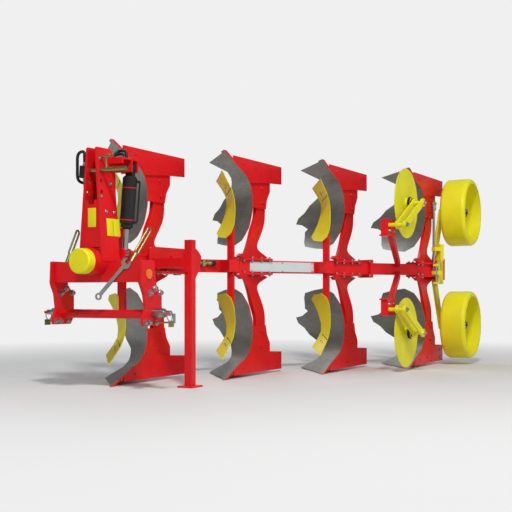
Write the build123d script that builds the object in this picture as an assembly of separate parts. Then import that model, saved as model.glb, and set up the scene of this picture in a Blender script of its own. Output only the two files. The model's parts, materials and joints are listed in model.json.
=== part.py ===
"""Four-furrow mounted reversible mouldboard plough, parked on its share points and its stand.

Millimetres.  +X is the direction of travel, +Y is to the left, +Z is up.  The model is laid out
from the midpoint between the lower link pins, at floor level, and moved at the end so that its
origin is the middle of its footprint on the floor.
"""
import os
from math import cos, radians, sin, tan

from build123d import *

os.makedirs("parts", exist_ok=True)

# ---------------------------------------------------------------- driving sizes
BODIES = 4                  # furrows
BODY_STEP_X = 840.0         # from one body to the next, along the travel
BODY_STEP_Y = 446.0         # furrow width, to the left
FIRST_POINT = (-157.0, -77.0)   # share point of the first body, from the lower link pins
AXIS_Z = 877.5              # turnover axis, and the main beam's centre
BEAM = 100.0                # main beam, square tube
BEAM_WALL = 10.0
BEAM_BACK = 530.0           # beam centre behind a body's share point
BEAM_RIGHT = 40.0           # and to the right of its landside
BEAM_FRONT_END = 330.0      # beam past the first and the last leg
BEAM_REAR_END = 100.0
FIT = 0.3                   # gap between pieces that are bolted together round a curve

# mouldboard: straight rulings between two upright sections, each a line and two arcs
# columns: distance right of the landside, start behind the point, ground angle (degrees),
#          length of the straight foot, radius of the breast, radius of the overhanging top,
#          forward lean of the very top (degrees)
BOARD_SECTIONS = [
    (0.0, 0.0, 24.44, 351.5, 228.0, 700.0, 36.0),
    (850.0, 1000.0, 32.2, 206.7, 246.0, 420.0, 66.0),
]
BOARD_THICK = 10.0
SHARE_THICK = 12.0
LANDSIDE = 12.0             # landside plate
LANDSIDE_LENGTH = 984.0     # from the point to the heel
LANDSIDE_FOOT = 24.0        # landside's lower edge above the floor
LEG_THICK = 30.0
FROG_THICK = 14.0

# headstock
PIN_HALF = 517.0            # outer end of a lower link pin from the middle
PIN_Z = 530.0
PIN_R = 18.25               # lower link pin, 36.5 mm, category 3
PIN_COLLAR = 80.0
PIN_COLLAR_R = 32.0
BAR_R = 31.0                # round bar between the side plates
BAR_X, BAR_Z = 18.0, 522.0
TOP_PIN_R = 15.9            # top link pin, 31.8 mm, category 3
TOP_PIN_X, TOP_PIN_Z = 145.0, 1494.0
TOP_HOLE_R = 16.0           # free holes for the tractor's top link pin
TOP_HOLES = [(145.0, 1420.0), (150.0, 1345.0)]   # (x, z)
CAP_R = 86.0
CAP_LONG = 72.0
SIDE_PLATE = 20.0
SIDE_PLATE_Y = 372.0        # middle of a side plate from the middle of the plough
CROSS_X, CROSS_Z = 55.0, 808.0
CROSS_DEEP, CROSS_HIGH, CROSS_WALL = 130.0, 140.0, 12.0
TOWER_TOP_HALF = 43.0       # outside face of a tower plate from the middle, at TOWER_TOP
TOWER_TOP = 1650.0
TOWER_LEAN = 4.0            # degrees that each plate leans inwards
TOWER_PLATE = 16.0
SHAFT_R = 62.0
HOUSING_R = 92.0
HOUSING_BACK, HOUSING_FRONT = -30.0, 250.0

# turnover gear
CRANK_X = -80.0             # plane of the cylinder and its crank
CRANK_GAP = 52.0            # between the two crank cheeks
CRANK_CHEEK = 18.0
CRANK_R = 110.0
CRANK_AT = 35.0             # where the crank pin stands at rest, degrees up from +Y
NECK_R = 38.0               # shaft between the cheeks
CYL_PIVOT = (140.0, 1530.0)  # upper pin, across and up
CYL_R = 42.0
CYL_LONG = 400.0            # pivot to the gland
EYE_R = 28.0
EYE_WIDE = 40.0
CYL_PIN_R = 16.0
ROD_R = 20.0
ROD_LONG = 428.0            # piston end to the eye's centre
RUNNING = 0.3               # radial clearance of a shaft in its bore
LUG = 14.0
LUG_GAP = 56.0

# stand
STAND_XY = (-406.0, 420.0)
STAND_TUBE = 58.0
STAND_TOP = 1040.0
STAND_WALL = 5.0

# depth wheels at the rear
WHEEL_R = 312.0
WHEEL_WIDE = 235.0
WHEEL_FACE_Y = 1576.0
WHEEL_RIM = 45.0            # from the tread to the dished face
WHEEL_DISH = 145.0
WHEEL_X = -3595.0
WHEEL_Z = {"lower": 368.0, "upper": 1419.0}

# disc coulters on the last body
DISC_R = 295.0
DISC_AHEAD = 207.0
DISC_LEFT = 50.0
DISC_Z = 330.0

LAST = BODIES - 1
MIRROR = Plane.XY.offset(AXIS_Z)


# ---------------------------------------------------------------- small helpers
def joined(shapes):
    """One compound of solids for a node, with fused shapes split into their solids."""
    solids = []
    for shape in shapes:
        solids.extend(shape.solids())
    return Compound(children=solids)


def block(x0, x1, y0, y1, z0, z1):
    return Pos((x0 + x1) / 2, (y0 + y1) / 2, (z0 + z1) / 2) * Box(x1 - x0, y1 - y0, z1 - z0)


def rod(start, end, radius, hole=0.0):
    """A round bar or tube between two points."""
    a, b = Vector(*start), Vector(*end)
    plane = Plane(origin=a, z_dir=b - a)
    ring = Circle(radius) - Circle(hole) if hole else Circle(radius)
    return extrude(plane * ring, (b - a).length)


def bar(start, end, wide, high, hollow=0.0):
    """A rectangular bar between two points, its second side as upright as it can be."""
    a, b = Vector(*start), Vector(*end)
    along = (b - a).normalized()
    side = along.cross(Vector(0, 0, 1))
    if side.length < 1e-6:
        side = Vector(0, 1, 0)
    plane = Plane(origin=a, x_dir=side, z_dir=along)
    shape = Rectangle(wide, high)
    if hollow:
        shape -= Rectangle(wide - 2 * hollow, high - 2 * hollow)
    return extrude(plane * shape, (b - a).length)


def side_plate(points, y, thick, radius=0.0, holes=()):
    """A plate upright along the travel: points are (x, z); y is its middle."""
    outline = make_face(Polyline(*[(x, z) for x, z in points], close=True))
    if radius:
        outline = fillet(outline.vertices(), radius)
    for x, z, r in holes:
        outline -= Pos(x, z) * Circle(r)
    plane = Plane(origin=(0, y + thick / 2, 0), x_dir=(1, 0, 0), z_dir=(0, -1, 0))
    return extrude(plane * outline, thick)


def cross_plate(points, x, thick, radius=0.0, holes=()):
    """A plate upright across the travel: points are (y, z); x is its middle."""
    outline = make_face(Polyline(*[(y, z) for y, z in points], close=True))
    if radius:
        outline = fillet(outline.vertices(), radius)
    for y, z, r in holes:
        outline -= Pos(y, z) * Circle(r)
    plane = Plane(origin=(x - thick / 2, 0, 0), x_dir=(0, 1, 0), z_dir=(1, 0, 0))
    return extrude(plane * outline, thick)


def station(shape, index):
    """A piece of the first lower body, at body index."""
    return Pos(-BODY_STEP_X * index, BODY_STEP_Y * index, 0) * shape


def both_ways(shape):
    """The lower piece and its mirror image above the beam."""
    return [shape, mirror(shape, about=MIRROR)]


def on_bodies(shape, indices=range(BODIES), sides=("lower", "upper")):
    """A lower first-body piece repeated along the beam, below and above it."""
    out = []
    for side in sides:
        piece = shape if side == "lower" else mirror(shape, about=MIRROR)
        out.extend(station(piece, index) for index in indices)
    return out


def local(back, right, z):
    """A place on the first body: behind its point, right of its landside, above the floor."""
    return (FIRST_POINT[0] - back, FIRST_POINT[1] - right, z)


def beam_at(index):
    """Beam centre at a body, or at a fraction of the way to the next one."""
    return Vector(
        FIRST_POINT[0] - BEAM_BACK - BODY_STEP_X * index,
        FIRST_POINT[1] - BEAM_RIGHT + BODY_STEP_Y * index,
        AXIS_Z,
    )


BEAM_ALONG = (beam_at(1) - beam_at(0)).normalized()
BEAM_LEFT = Vector(0, 0, 1).cross(BEAM_ALONG) * -1


def beam_box(index, along, out, up, long, wide, high):
    """A block squared to the beam: offsets along it, out to its left, and up."""
    at = beam_at(index) + BEAM_ALONG * along + BEAM_LEFT * out + Vector(0, 0, up)
    plane = Plane(origin=at, x_dir=BEAM_ALONG, z_dir=(0, 0, 1))
    return plane * Box(long, wide, high)


# ---------------------------------------------------------------- mouldboard surface
def board_profile(section, inset):
    """Upright section of the board's surface, moved back by inset, as three edges."""
    right, start, angle, foot, breast, crown, lean = section
    a = radians(angle)
    p0 = Vector(start + inset * sin(a), -inset * cos(a))
    run = Vector(cos(a), sin(a))
    lead = 60.0
    p1 = p0 + run * foot
    centre = p1 + Vector(-sin(a), cos(a)) * (breast + inset)
    p2 = centre + Vector(breast + inset, 0)
    mid = radians((angle - 90) / 2)
    q = centre + Vector(cos(mid), sin(mid)) * (breast + inset)
    high = centre + Vector(breast - crown, 0)
    top = crown + inset
    tip = radians(lean)
    r = high + Vector(cos(tip / 2), sin(tip / 2)) * top
    p3 = high + Vector(cos(tip), sin(tip)) * top
    return p0 - run * lead, p1, q, p2, r, p3


def board_block(front, back, ahead=0.0, sections=BOARD_SECTIONS, start=(0.0, 0.0, 0.0)):
    """The body between two offsets of the board's surface, its front moved ahead."""
    wires = []
    for section in sections:
        f = [point - Vector(ahead, 0) for point in board_profile(section, front)]
        b = board_profile(section, back)
        plane = Plane(
            origin=local(start[0], start[1] + section[0], start[2]), x_dir=(-1, 0, 0), z_dir=(0, 1, 0)
        )
        edges = [
            Line(f[0], f[1]),
            ThreePointArc(f[1], f[2], f[3]),
            ThreePointArc(f[3], f[4], f[5]),
            Line(f[5], b[5]),
            ThreePointArc(b[5], b[4], b[3]),
            ThreePointArc(b[3], b[2], b[1]),
            Line(b[1], b[0]),
            Line(b[0], f[0]),
        ]
        wires.append(plane * make_face(Wire(edges)))
    return loft(wires, ruled=True)


def front_cutter(points, x0=-2000.0, x1=400.0):
    """A prism along the travel whose outline is (right, z) pairs; a third value rounds."""
    outline = make_face(Polyline(*[(-p[0] + FIRST_POINT[1], p[1]) for p in points], close=True))
    plane = Plane(origin=(x0, 0, 0), x_dir=(0, 1, 0), z_dir=(1, 0, 0))
    return extrude(plane * outline, x1 - x0)


POINT_WIDE = 78.0
SHARE_OUTLINE = [(POINT_WIDE, 4), (460, 6), (262, 100), (POINT_WIDE, 100)]
POINT_OUTLINE = [(0, 0), (POINT_WIDE, 0), (POINT_WIDE, 118), (0, 135)]
BOARD_OUTLINE = [
    (0, 135), (POINT_WIDE, 118), (POINT_WIDE, 100), (262, 100), (285, 138), (400, 222), (585, 276), (690, 336),
    (595, 496), (640, 520), (605, 620), (560, 664), (400, 690), (235, 706), (120, 664), (35, 564), (0, 430),
]
TAIL_OUTLINE = [(690 + FIT, 336), (800, 374), (838, 428), (715, 448), (595 + FIT, 496)]

board_body = board_block(0, BOARD_THICK)
share = board_block(0, SHARE_THICK) & front_cutter(SHARE_OUTLINE)
point = board_block(-6, SHARE_THICK) & front_cutter(POINT_OUTLINE)
board = board_body & front_cutter(BOARD_OUTLINE)
tail = board_body & front_cutter(TAIL_OUTLINE)
behind_board = board_block(BOARD_THICK + FIT, BOARD_THICK + FIT, ahead=700)
behind_share = board_block(SHARE_THICK + FIT, SHARE_THICK + FIT, ahead=700)

nodes = {}
nodes["shares"] = joined(on_bodies(share))
nodes["share_points"] = joined(on_bodies(point))
nodes["mouldboards_lower"] = joined(on_bodies(board, sides=("lower",)))
nodes["mouldboards_upper"] = joined(on_bodies(board, sides=("upper",)))
nodes["tail_strips"] = joined(on_bodies(tail))

# landside, frog, leg and stay
fx, fy = FIRST_POINT
FLANGE_LONG, FLANGE_WIDE, FLANGE = 300.0, 150.0, 16.0
SADDLE = 12.0
leg_top = AXIS_Z - BEAM / 2 - FLANGE
landside = side_plate(
    [(fx - 150, LANDSIDE_FOOT), (fx - LANDSIDE_LENGTH, LANDSIDE_FOOT),
     (fx - LANDSIDE_LENGTH, 170), (fx - 740, 184), (fx - 430, 212), (fx - 150, 212)],
    fy - LANDSIDE / 2, LANDSIDE)
landside -= behind_share
nodes["landsides"] = joined(on_bodies(landside))

frog_y = fy - LANDSIDE - FIT - FROG_THICK / 2
frog = side_plate(
    [(fx - 120, 46), (fx - 690, 46), (fx - 790, 110), (fx - 790, 250), (fx - 735, 325), (fx - 715, 400),
     (fx - 120, 400)], frog_y, FROG_THICK)
frog -= behind_share
saddle_front = SHARE_THICK + FIT
saddle_right = LANDSIDE + FIT + FROG_THICK
saddle = board_block(saddle_front, saddle_front + SADDLE)
saddle &= front_cutter([(saddle_right, 60), (225, 60), (225, 330), (saddle_right, 390)])
behind_saddle = board_block(saddle_front + SADDLE + FIT, saddle_front + SADDLE + FIT, ahead=700)
nodes["frogs"] = joined(on_bodies(frog + saddle))

leg_y = fy - saddle_right - LEG_THICK / 2
# (behind the point, up): front edge from the foot down, then the rear edge from the bottom up
LEG_FRONT = [(425, 700), (505, 570), (550, 498), (570, 400)]
LEG_REAR = [(727, 400), (718, 500), (650, 615), (590, 700)]
LEG_LOW = 200.0
TOE_DROP = 14.0             # the foot's toes clear the beam's flange by this much
leg_front = [Vector(fx - back, z) for back, z in LEG_FRONT]
leg_rear = [Vector(fx - back, z) for back, z in LEG_REAR]
foot_front = Vector(fx - 270, leg_top - TOE_DROP)
foot_rear = Vector(fx - 780, leg_top - TOE_DROP)
low_front, low_rear = Vector(leg_front[-1].X, LEG_LOW), Vector(leg_rear[0].X, LEG_LOW)
top_front, top_rear = foot_front + Vector(-95, TOE_DROP), foot_rear + Vector(80, TOE_DROP)
leg_face = make_face([
    Line(top_front, foot_front),
    Spline(foot_front, *leg_front, tangents=((-1, -0.35), (0, -1))),
    Line(leg_front[-1], low_front),
    Line(low_front, low_rear),
    Line(low_rear, leg_rear[0]),
    Spline(*leg_rear, foot_rear, tangents=((0, 1), (-1, 0.35))),
    Line(foot_rear, top_rear),
    Line(top_rear, top_front),
])
leg_plane = Plane(origin=(0, leg_y + LEG_THICK / 2, 0), x_dir=(1, 0, 0), z_dir=(0, -1, 0))
leg = extrude(leg_plane * leg_face, LEG_THICK)
leg -= behind_saddle
nodes["legs"] = joined(on_bodies(leg))

STAY_R = 13.0
stay_right = saddle_right + LEG_THICK
stay = rod(local(700, stay_right, 235), local(905, 485, 292), STAY_R)
stay -= behind_board
stay -= block(-2000, 0, fy - stay_right, 500, 0, 400)
nodes["board_stays"] = joined(on_bodies(stay))


# ---------------------------------------------------------------- main beam and leg brackets
beam_front = beam_at(0) - BEAM_ALONG * BEAM_FRONT_END
beam_rear = beam_at(LAST) + BEAM_ALONG * BEAM_REAR_END
nodes["main_beam"] = bar(beam_front, beam_rear, BEAM, BEAM, BEAM_WALL)

SPINDLE_R, SPINDLE_ALONG, SPINDLE_OUT, SPINDLE_TOP = 12.0, 61.0, 70.0, 1465.0
spindle = beam_at(LAST) + BEAM_ALONG * SPINDLE_ALONG + BEAM_LEFT * SPINDLE_OUT   # wheel adjuster
flange_up = -(BEAM + FLANGE) / 2
FLANGE_LAST = BEAM_REAR_END - 14.0      # the last flange stops short of the beam's end
flange = beam_box(0, 0, 0, flange_up, FLANGE_LONG, FLANGE_WIDE, FLANGE)
last_flange = beam_box(0, (FLANGE_LAST - FLANGE_LONG / 2) / 2, 0, flange_up,
                       FLANGE_LONG / 2 + FLANGE_LAST, FLANGE_WIDE, FLANGE)
spindle_notch = rod((spindle.X, spindle.Y, 500), (spindle.X, spindle.Y, 1600), SPINDLE_R + 4)
nodes["leg_flanges"] = joined(on_bodies(flange, range(LAST))
                              + [end - spindle_notch for end in on_bodies(last_flange, [LAST])])

# ---------------------------------------------------------------- headstock
side_outline = [
    (-10, 884), (142, 884), (150, 731), (111, 658), (95, 560), (130, 494), (130, 446),
    (-62, 446), (-98, 500), (-98, 650), (-32, 722), (-14, 827),
]
side_holes = [(BAR_X, BAR_Z, BAR_R + FIT)]
side = side_plate(side_outline, SIDE_PLATE_Y, SIDE_PLATE, 10, side_holes)
nodes["side_plates"] = joined([side, mirror(side, about=Plane.XZ)])

cross_end = SIDE_PLATE_Y - SIDE_PLATE / 2
cross = block(CROSS_X - CROSS_DEEP / 2, CROSS_X + CROSS_DEEP / 2, -cross_end, cross_end,
              CROSS_Z - CROSS_HIGH / 2, CROSS_Z + CROSS_HIGH / 2)
cross -= block(CROSS_X - CROSS_DEEP / 2 + CROSS_WALL, CROSS_X + CROSS_DEEP / 2 - CROSS_WALL,
               -cross_end, cross_end,
               CROSS_Z - CROSS_HIGH / 2 + CROSS_WALL, CROSS_Z + CROSS_HIGH / 2 - CROSS_WALL)
housing = rod((HOUSING_BACK, 0, AXIS_Z), (HOUSING_FRONT, 0, AXIS_Z), HOUSING_R)
bore = rod((HOUSING_BACK - 1, 0, AXIS_Z), (HOUSING_FRONT - 20, 0, AXIS_Z), SHAFT_R + RUNNING)
nodes["turnover_housing"] = housing - bore
nodes["crossbeam"] = cross - rod((-200, 0, AXIS_Z), (500, 0, AXIS_Z), HOUSING_R)

cap = rod((HOUSING_FRONT, 0, AXIS_Z), (HOUSING_FRONT + CAP_LONG, 0, AXIS_Z), CAP_R)
cap = fillet(cap.edges().sort_by(Axis.X)[-1], 12)
nodes["shaft_end_cap"] = cap

tower_outline = [
    (-14, 880), (-14, 1035), (-50, 1062), (-50, 1110), (-17, 1124), (-10, 1335), (-24, 1560),
    (8, 1640), (22, TOWER_TOP), (172, TOWER_TOP), (182, 1640), (190, 1020), (190, 880),
]
lean = radians(TOWER_LEAN)


def tower_half(z):
    """Outside face of a tower plate from the middle, at a height."""
    return TOWER_TOP_HALF + (TOWER_TOP - z) * tan(lean)


tower_side = side_plate(tower_outline, TOWER_TOP_HALF - TOWER_PLATE / 2, TOWER_PLATE)
tower_edge = Pos(0, TOWER_TOP_HALF, TOWER_TOP)
tower_side = tower_edge * Rot(TOWER_LEAN, 0, 0) * tower_edge.inverse() * tower_side
tower_side -= rod((TOP_PIN_X, 0, TOP_PIN_Z), (TOP_PIN_X, 200, TOP_PIN_Z), TOP_PIN_R + FIT)
for x, z in TOP_HOLES:
    tower_side -= rod((x, 0, z), (x, 200, z), TOP_HOLE_R)
tower_side -= rod((-200, 0, AXIS_Z), (500, 0, AXIS_Z), HOUSING_R)
cross_top = CROSS_Z + CROSS_HIGH / 2
tower_side -= block(-200, 500, -300, 300, 0, cross_top)
tower_other = mirror(tower_side, about=Plane.XZ)
nodes["tower_plates"] = joined([tower_side, tower_other])

FRONT_PLATE = 12.0
FRONT_X = 178.0
front_low, front_high = AXIS_Z + HOUSING_R + 2, 1291.0
low_half = tower_half(front_low) - TOWER_PLATE / 2
high_half = tower_half(front_high) - TOWER_PLATE / 2
NOTCH_HALF, NOTCH_LOW = 24.0, front_high - 30
front = cross_plate(
    [(-low_half, front_low), (low_half, front_low), (high_half, front_high), (-high_half, front_high)],
    FRONT_X, FRONT_PLATE)
front -= cross_plate(
    [(-NOTCH_HALF, NOTCH_LOW), (NOTCH_HALF, NOTCH_LOW), (NOTCH_HALF, TOWER_TOP), (-NOTCH_HALF, TOWER_TOP)],
    FRONT_X, FRONT_PLATE + 2, 8)
nodes["tower_front_plate"] = front - tower_side - tower_other

# top link pin with its handle, pulled out to the left
PIN_LEFT, HANDLE_Y, HANDLE_Z, HANDLE_HALF = 259.0, 95.0, TOP_PIN_Z + 92, 40.0
top_pin = rod((TOP_PIN_X, -92, TOP_PIN_Z), (TOP_PIN_X, PIN_LEFT, TOP_PIN_Z), TOP_PIN_R)
top_pin += rod((TOP_PIN_X, HANDLE_Y, TOP_PIN_Z), (TOP_PIN_X, HANDLE_Y, HANDLE_Z), 9)
top_pin += rod((TOP_PIN_X, HANDLE_Y - HANDLE_HALF, HANDLE_Z), (TOP_PIN_X, HANDLE_Y + HANDLE_HALF, HANDLE_Z), 11)
nodes["top_link_pin"] = top_pin

# linch pins parked beside the link pins, so that a tractor's link balls can slide on
CLIP_Z, CLIP_R, CLIP_HALF, CLIP_THICK = PIN_Z - 62.0, 6.0, 30.0, 6.0
pins, clips = [], []
crossbar = rod((BAR_X, -cross_end - SIDE_PLATE, BAR_Z), (BAR_X, cross_end + SIDE_PLATE, BAR_Z), BAR_R)
nodes["lower_bar"] = crossbar
for hand in (-1, 1):
    y0 = hand * (SIDE_PLATE_Y + SIDE_PLATE / 2)
    pin = rod((0, y0, PIN_Z), (0, y0 + hand * PIN_COLLAR, PIN_Z), PIN_COLLAR_R)
    pin += rod((0, y0, PIN_Z), (0, hand * PIN_HALF, PIN_Z), PIN_R)
    pins.append(pin)
    keeper = rod((0, y0, CLIP_Z), (0, hand * PIN_HALF, CLIP_Z), CLIP_R)
    keeper += block(-CLIP_HALF, CLIP_HALF, *sorted((hand * PIN_HALF, hand * (PIN_HALF + CLIP_THICK))),
                    CLIP_Z - CLIP_HALF, CLIP_Z + CLIP_R + 4)
    clips.append(keeper)
nodes["lower_link_pins"] = joined(pins)
nodes["link_pin_clips"] = joined(clips)

# lugs behind the tower's left plate that carry the turnover cylinder
py, pz = CYL_PIVOT
lug_low, lug_high = pz - 34, pz + 44
lug_in, lug_out = tower_half(lug_high) - 10, py + 36
lug_holes = [(py, pz, CYL_PIN_R + FIT)]
lugs = []
for at in (CRANK_X + (LUG_GAP + LUG) / 2, CRANK_X - (LUG_GAP + LUG) / 2):
    lugs.append(cross_plate(
        [(lug_in, lug_low), (lug_out, lug_low), (lug_out, lug_high), (lug_in, lug_high)], at, LUG, 0, lug_holes))
roof_front = CRANK_X + LUG_GAP / 2 + LUG
roof_back = CRANK_X - LUG_GAP / 2 - LUG
PAD_FRONT, PAD = 70.0, 24.0
bracket = lugs[0] + lugs[1] + block(roof_back, PAD_FRONT, lug_in, lug_out, lug_high, lug_high + 12)
bracket += block(roof_front - LUG, PAD_FRONT, lug_in, lug_in + PAD, lug_low, lug_high)
bracket += block(PAD_FRONT - LUG, PAD_FRONT, lug_in, lug_out, lug_high - 30, lug_high)
# the largest solid is what stands outside the tower plate
nodes["cylinder_bracket"] = max((bracket - tower_side).solids(), key=lambda solid: solid.volume)
nodes["cylinder_pin"] = rod((roof_back - 6, py, pz), (roof_front + 4, py, pz), CYL_PIN_R)

# ---------------------------------------------------------------- turnover cylinder
crank = radians(CRANK_AT)
pin_y, pin_z = CRANK_R * cos(crank), AXIS_Z + CRANK_R * sin(crank)
top = Vector(CRANK_X, py, pz)
eye = Vector(CRANK_X, pin_y, pin_z)
down = (eye - top).normalized()


def along_cylinder(distance):
    return top + down * distance


barrel = rod(along_cylinder(60), along_cylinder(CYL_LONG), CYL_R)
barrel += rod((CRANK_X - LUG_GAP / 2 + 3, py, pz), (CRANK_X + LUG_GAP / 2 - 3, py, pz), 32)
barrel += bar(along_cylinder(20), along_cylinder(66), LUG_GAP - 12, 50)
barrel -= rod((CRANK_X - 60, py, pz), (CRANK_X + 60, py, pz), CYL_PIN_R + RUNNING)
barrel -= rod(along_cylinder(100), along_cylinder(CYL_LONG + 1), ROD_R + RUNNING)
nodes["turnover_cylinder_barrel"] = barrel
reach = (eye - top).length
piston = rod(along_cylinder(reach - ROD_LONG), along_cylinder(reach - EYE_R + 4), ROD_R)
piston += rod((CRANK_X - EYE_WIDE / 2, pin_y, pin_z), (CRANK_X + EYE_WIDE / 2, pin_y, pin_z), EYE_R)
piston -= rod((CRANK_X - 60, pin_y, pin_z), (CRANK_X + 60, pin_y, pin_z), CYL_PIN_R + 2)
nodes["turnover_cylinder_rod"] = piston

# ---------------------------------------------------------------- turnover shaft and swivel frame
SWIVEL_FRONT = CRANK_X - CRANK_GAP / 2 - CRANK_CHEEK
shaft = rod((HOUSING_FRONT - 25, 0, AXIS_Z), (CRANK_X + CRANK_GAP / 2, 0, AXIS_Z), SHAFT_R)
nodes["turnover_shaft"] = shaft
nodes["crank_neck"] = rod((CRANK_X + CRANK_GAP / 2, 0, AXIS_Z), (SWIVEL_FRONT, 0, AXIS_Z), NECK_R)
nodes["swivel_flange"] = rod((SWIVEL_FRONT, 0, AXIS_Z), (SWIVEL_FRONT - 22, 0, AXIS_Z), 112)
cheeks = []
for side_x in (CRANK_X + (CRANK_GAP + CRANK_CHEEK) / 2, CRANK_X - (CRANK_GAP + CRANK_CHEEK) / 2):
    face = make_hull(Circle(74).edges() + (Pos(pin_y, pin_z - AXIS_Z) * Circle(34)).edges())
    plane = Plane(origin=(side_x - CRANK_CHEEK / 2, 0, AXIS_Z), x_dir=(0, 1, 0), z_dir=(1, 0, 0))
    cheek = extrude(plane * face, CRANK_CHEEK)
    cheek -= rod((-300, 0, AXIS_Z), (200, 0, AXIS_Z), SHAFT_R if side_x > CRANK_X else NECK_R)
    cheeks.append(cheek)
nodes["crank_cheeks"] = joined(cheeks)

flange_back = SWIVEL_FRONT - 22
PLATE = 18.0
deck_gap = BEAM / 2 + PLATE / 2
deck_outline = [
    (flange_back, -105), (flange_back, 105), (-800, 118), (-960, 80), (-990, 15), (-965, -55),
    (-905, -95), (-868, -96), (-802, 30), (-772, 38), (-505, -104),
]
decks = []
for level in (AXIS_Z - deck_gap, AXIS_Z + deck_gap):
    outline = make_face(Polyline(*deck_outline, close=True))
    decks.append(extrude(Plane.XY.offset(level - PLATE / 2) * outline, PLATE))
web_high = BEAM
pivot = beam_at(0) + BEAM_ALONG * (-beam_at(0).Y / BEAM_ALONG.Y)
PIVOT_R = 30.0
pivot_hole = rod((pivot.X, 0, 600), (pivot.X, 0, 1200), PIVOT_R + FIT)
nodes["swivel_decks"] = joined([deck - pivot_hole for deck in decks])
nodes["main_beam"] -= pivot_hole
pivot_head = AXIS_Z + BEAM / 2 + PLATE
nodes["swivel_pivot"] = rod((pivot.X, 0, AXIS_Z - BEAM / 2 - PLATE - 8), (pivot.X, 0, pivot_head), PIVOT_R) + rod(
    (pivot.X, 0, pivot_head), (pivot.X, 0, pivot_head + 20), PIVOT_R + 14)
webs = [
    block(-500, flange_back, 88, 104, AXIS_Z - web_high / 2, AXIS_Z + web_high / 2),
    block(-285, flange_back, -104, -88, AXIS_Z - web_high / 2, AXIS_Z + web_high / 2),
    block(flange_back - 16, flange_back, -88, 88, AXIS_Z - web_high / 2, AXIS_Z + web_high / 2),
]
nodes["swivel_webs"] = webs[0] + webs[1] + webs[2]
cover = side_plate([(-330, 880), (-330, 985), (-380, 998), (-820, 998), (-850, 985), (-850, 880)], 124, 10, 8)
cover += block(-800, -600, 124, 148, 858, 938)
nodes["swivel_cover"] = cover
cover_feet = [block(x - 20, x + 20, 104, 119, AXIS_Z - 40, AXIS_Z + 40) for x in (-400, -460)]
nodes["cover_spacers"] = joined(cover_feet)

# ---------------------------------------------------------------- stand
sx, sy = STAND_XY
FOOT = 12.0
stand_half = STAND_TUBE / 2
stand = block(sx - stand_half, sx + stand_half, sy - stand_half, sy + stand_half, FOOT, STAND_TOP)
stand -= block(sx - stand_half + STAND_WALL, sx + stand_half - STAND_WALL,
               sy - stand_half + STAND_WALL, sy + stand_half - STAND_WALL, FOOT + 6, STAND_TOP + 1)
stand += block(sx - 75, sx + 75, sy - 60, sy + 60, 0, FOOT)
nodes["stand"] = stand
SLEEVE = 8.0
SLEEVE_LOW, SLEEVE_HIGH = 812.0, 945.0
SLEEVE_GRIP = 34.0          # depth of the channel that holds the stand
hole = stand_half + 0.6
sleeve = block(sx - hole - SLEEVE, sx + hole + SLEEVE, sy - hole - SLEEVE, sy - hole + SLEEVE_GRIP,
               SLEEVE_LOW, SLEEVE_HIGH)
sleeve -= block(sx - hole, sx + hole, sy - hole, sy + hole, SLEEVE_LOW - 1, SLEEVE_HIGH + 1)
ear_front = sx - hole - SLEEVE / 2
ear = side_plate(
    [(ear_front, 1000), (-500, 1000), (-569, 968), (-614, 930), (-600, 860), (-569, 812), (-500, 740),
     (ear_front, 726)], sy - hole - SLEEVE / 2, SLEEVE, 0, [(-520, 940, 12), (-520, 800, 12)])
nodes["stand_sleeve"] = sleeve + ear
nodes["stand_arm"] = block(sx - 40, sx + 40, 129, sy - hole - SLEEVE, AXIS_Z - 35, AXIS_Z + 35)

# ---------------------------------------------------------------- skimmers
# a small board of the same form, ahead of the first three bodies
SKIM_SECTIONS = [
    (-20.0, -16.0, 40.0, 170.0, 224.0, 420.0, 33.0),
    (260.0, 216.0, 44.0, 150.0, 200.0, 380.0, 42.0),
]
SKIM_AT = (-20.0, 15.0, 158.0)       # tip: behind the share point, right of the landside, up
SKIM_THICK = 9.0


def skimmer_block(front, back, ahead=0.0):
    return board_block(front, back, ahead, SKIM_SECTIONS, SKIM_AT)


skimmer = skimmer_block(0, SKIM_THICK)
behind_skimmer = skimmer_block(SKIM_THICK + FIT, SKIM_THICK + FIT, ahead=400)
r0, z0 = SKIM_AT[1], SKIM_AT[2]
skim_split = z0 + 122       # top of the skimmer's share
SKIM_SHARE = [(r0, z0), (r0 + 160, z0 + 56), (r0 + 118, skim_split + 52), (r0, skim_split)]
SKIM_OUTLINE = [
    (r0, skim_split + FIT), (r0 + 112, skim_split + 50 + FIT), (r0 + 122, z0 + 250), (r0 + 160, z0 + 350),
    (r0 + 215, z0 + 455), (r0 + 170, z0 + 492), (r0 + 70, z0 + 505), (r0 + 20, z0 + 470), (r0, z0 + 400),
]
skimmer_share = skimmer_block(-1, SKIM_THICK) & front_cutter(SKIM_SHARE)
nodes["skimmer_shares"] = joined(on_bodies(skimmer_share, range(LAST)))
skimmer = skimmer & front_cutter(SKIM_OUTLINE)
nodes["skimmer_boards"] = joined(on_bodies(skimmer, range(LAST)))
STALK_BACK, STALK_DEEP, STALK_RIGHT, STALK_WIDE = 190.0, 32.0, 35.0, 50.0
stalk_top = AXIS_Z - 6
stalk = block(fx - STALK_BACK - STALK_DEEP, fx - STALK_BACK, fy - STALK_RIGHT - STALK_WIDE, fy - STALK_RIGHT,
              430, stalk_top)
stalk -= behind_skimmer
nodes["skimmer_stalks"] = joined(on_bodies(stalk, range(LAST)))
stalk_mid = Vector(fx - STALK_BACK - STALK_DEEP / 2, fy - STALK_RIGHT - STALK_WIDE / 2, AXIS_Z)
holder_reach = (stalk_mid - beam_at(0)).dot(BEAM_LEFT)
holder_along = (stalk_mid - beam_at(0)).dot(BEAM_ALONG)
holder = beam_box(0, holder_along, (BEAM / 2 + holder_reach + 46) / 2, 0, 90, holder_reach + 46 - BEAM / 2, 96)
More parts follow.
